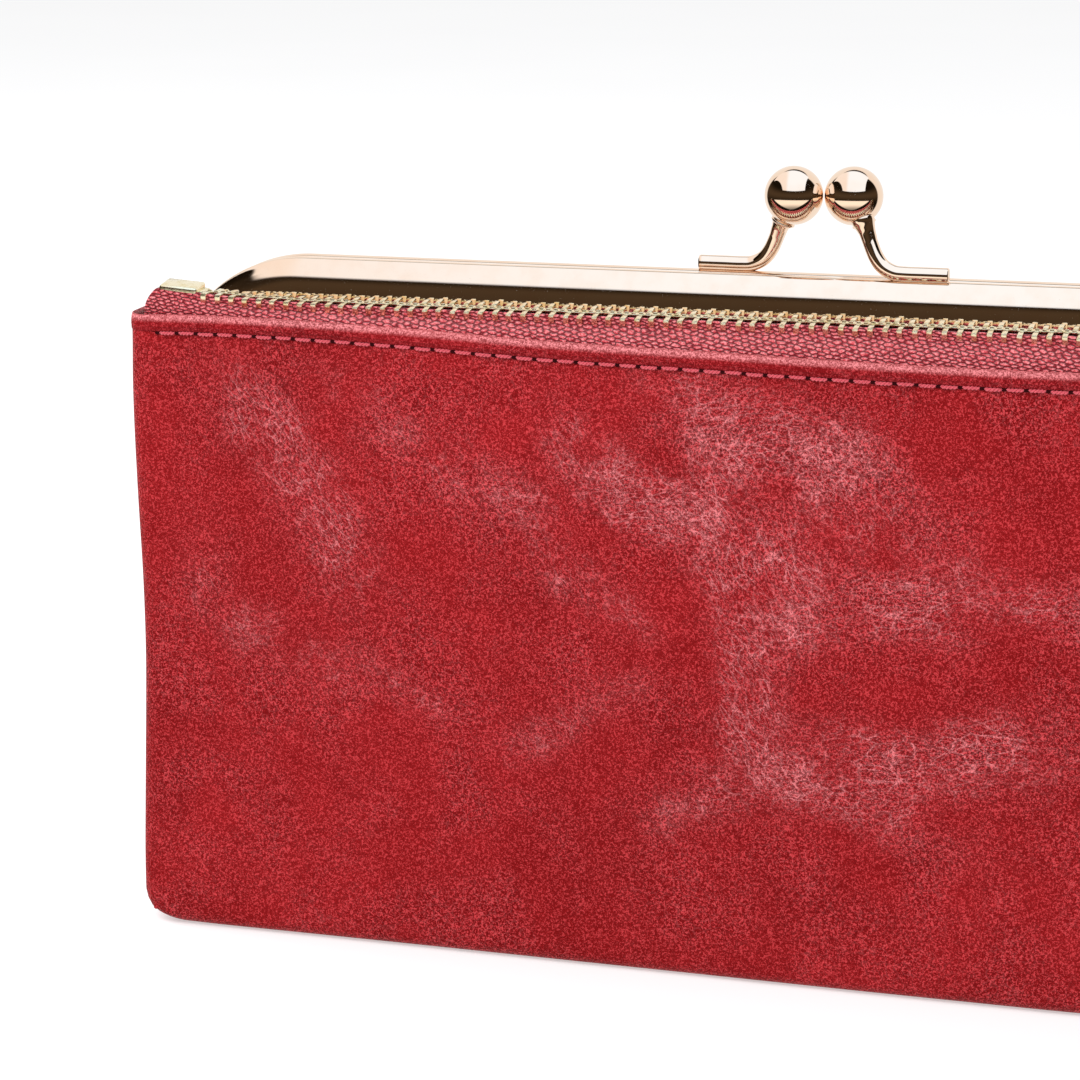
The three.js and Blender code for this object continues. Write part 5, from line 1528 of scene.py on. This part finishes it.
def bezier(a, b, c, d, count):
    """Points along a cubic curve from a to d, drawn towards b and c."""
    a, b, c, d = (np.array(p, float) for p in (a, b, c, d))
    return [(1 - s) ** 3 * a + 3 * (1 - s) ** 2 * s * b + 3 * (1 - s) * s * s * c + s ** 3 * d
            for s in np.linspace(0, 1, count)]


def strap_line():
    """The strap's outer face: round the eye's bar, down the neck, out round the wrist loop and back."""
    t = STRAP_THICK
    bar = EYE[0][2] + EYE_WIRE
    fold = EYE_WIRE * math.sqrt(2) + 0.3 + t
    neck = bar - 14
    tip = STRAP[1][0]
    end = 5.2 / 2 + t
    x = HOOK_X
    side = t + 0.15
    line = arc((x, bar), fold, 0, 180, 14)
    line += [(x - side - 0.35, bar - fold * 0.7), (x - side, bar - fold - 2)]
    line += [(x - side, z) for z in np.linspace(bar - fold - 4, neck + 1, 5)]
    line += bezier((x - side, neck), (x - t, neck * 0.45), (x + 1, 0), (x + 20, 0), 20)
    line += [(a, 0.0) for a in np.linspace(x + 24, tip - end - 2, 24)]
    line += arc((tip - end, end), end, -90, 90, 14)
    line += [(a, 2 * end) for a in np.linspace(tip - end - 2, x + 38, 22)]
    line += bezier((x + 34, 2 * end), (x + 14, 2 * end), (x + t + 3, neck * 0.6), (x + side, neck), 18)
    line += [(x + side, z) for z in np.linspace(neck + 1, bar - fold - 4, 5)]
    line += [(x + side, bar - fold - 2), (x + side + 0.35, bar - fold * 0.7)]
    return np.array(line)


def strap():
    """The folded strap, and the stitches along its neck and its loop."""
    t = STRAP_THICK
    line = strap_line()
    half = (STRAP[1][1] - STRAP[0][1]) / 2
    crown = lambda v: 0.16 * v * v  # the edges are pared a little thinner than the middle
    across = np.linspace(-1, 1, 9)
    section = [(v, crown(v)) for v in across] + [(1.0, STRAP_EDGE), (1.0, t - STRAP_EDGE)]
    section += [(v, t - crown(v)) for v in across[::-1]] + [(-1.0, t - STRAP_EDGE), (-1.0, STRAP_EDGE)]
    way = unit(np.roll(line, -1, 0) - np.roll(line, 1, 0))
    out = np.column_stack([way[:, 1], -way[:, 0]])
    rows = []
    for (x, z), (ox, oz) in zip(line, out):
        rows.append([(x - ox * depth, RING_Y + v * half, z - oz * depth) for v, depth in section])
    points, faces = skin(rows, capped=False)
    n, last = len(rows[0]), (len(rows) - 1) * len(rows[0])
    faces += [(last + k, last + (k + 1) % n, (k + 1) % n, k) for k in range(n)]
    leather = Shells().add((points, faces))
    piece("strap_leather", leather, STRAP_RED, "strap", ("wrist_strap",), crisp=50)
    sewn = slice(22, -6)  # from below the fold at the eye, round the loop and back to it
    keep = line[sewn]
    lying = int(np.argmax(keep[:, 1] <= 0.5))  # where the strap comes to lie on the table
    lifted = next(i for i, (_, z) in enumerate(keep) if z > 5 and i > lying)
    ways = [(ox, 0, oz) for ox, oz in out[sewn]]
    for name, side in (("front", -1), ("back", 1)):
        path = [(x, RING_Y + side * (half - 1.3), z) for x, z in keep]
        for label, part in (("neck", slice(None, lying)), ("loop", slice(lifted, None))):
            stitches(f"strap_stitches_{name}_{label}", path[part], ways[part], f"strap_holes_{name}_{label}",
                     "strap", "strap_leather", STRAP_STITCH, STRAP_THREAD)


def keeper():
    """A leather band round both sides of the strap's neck."""
    low, high = KEEPER
    middle, size = (low + high) / 2, (high - low) / 2
    loop = oblong(-size[0], size[0], -size[1], size[1], 0.9, 5)
    wall = 0.72
    hole = [(x * (size[0] - wall) / size[0], y * (size[1] - wall) / size[1]) for x, y in loop]
    band = moved(plate([loop, hole], 2 * size[2], 0.2), middle)
    piece("keeper_loop", Shells().add(band), STRAP_RED, "strap", ("strap_keeper",), crisp=50)


front_leather()
hem()
hem_stitches()
back_leather()
base()
gussets()
divider()
linings()
card_slots()
stiffener()
frame_half("front_frame_half", -1, "root")
frame_half("back_frame_half", 1, "back_half")
frame_cord("front_frame_cord", "root")
frame_cord("back_frame_cord", "back_half")
hinge_rivets()
ball_clasp("right", 1, "root")
ball_clasp("left", -1, "back_half")
zip_tapes()
zip_teeth()
zip_stops()
slider()
pull()
ring_tab()
d_ring()
snap_hook()
swivel_eye()
strap()
keeper()
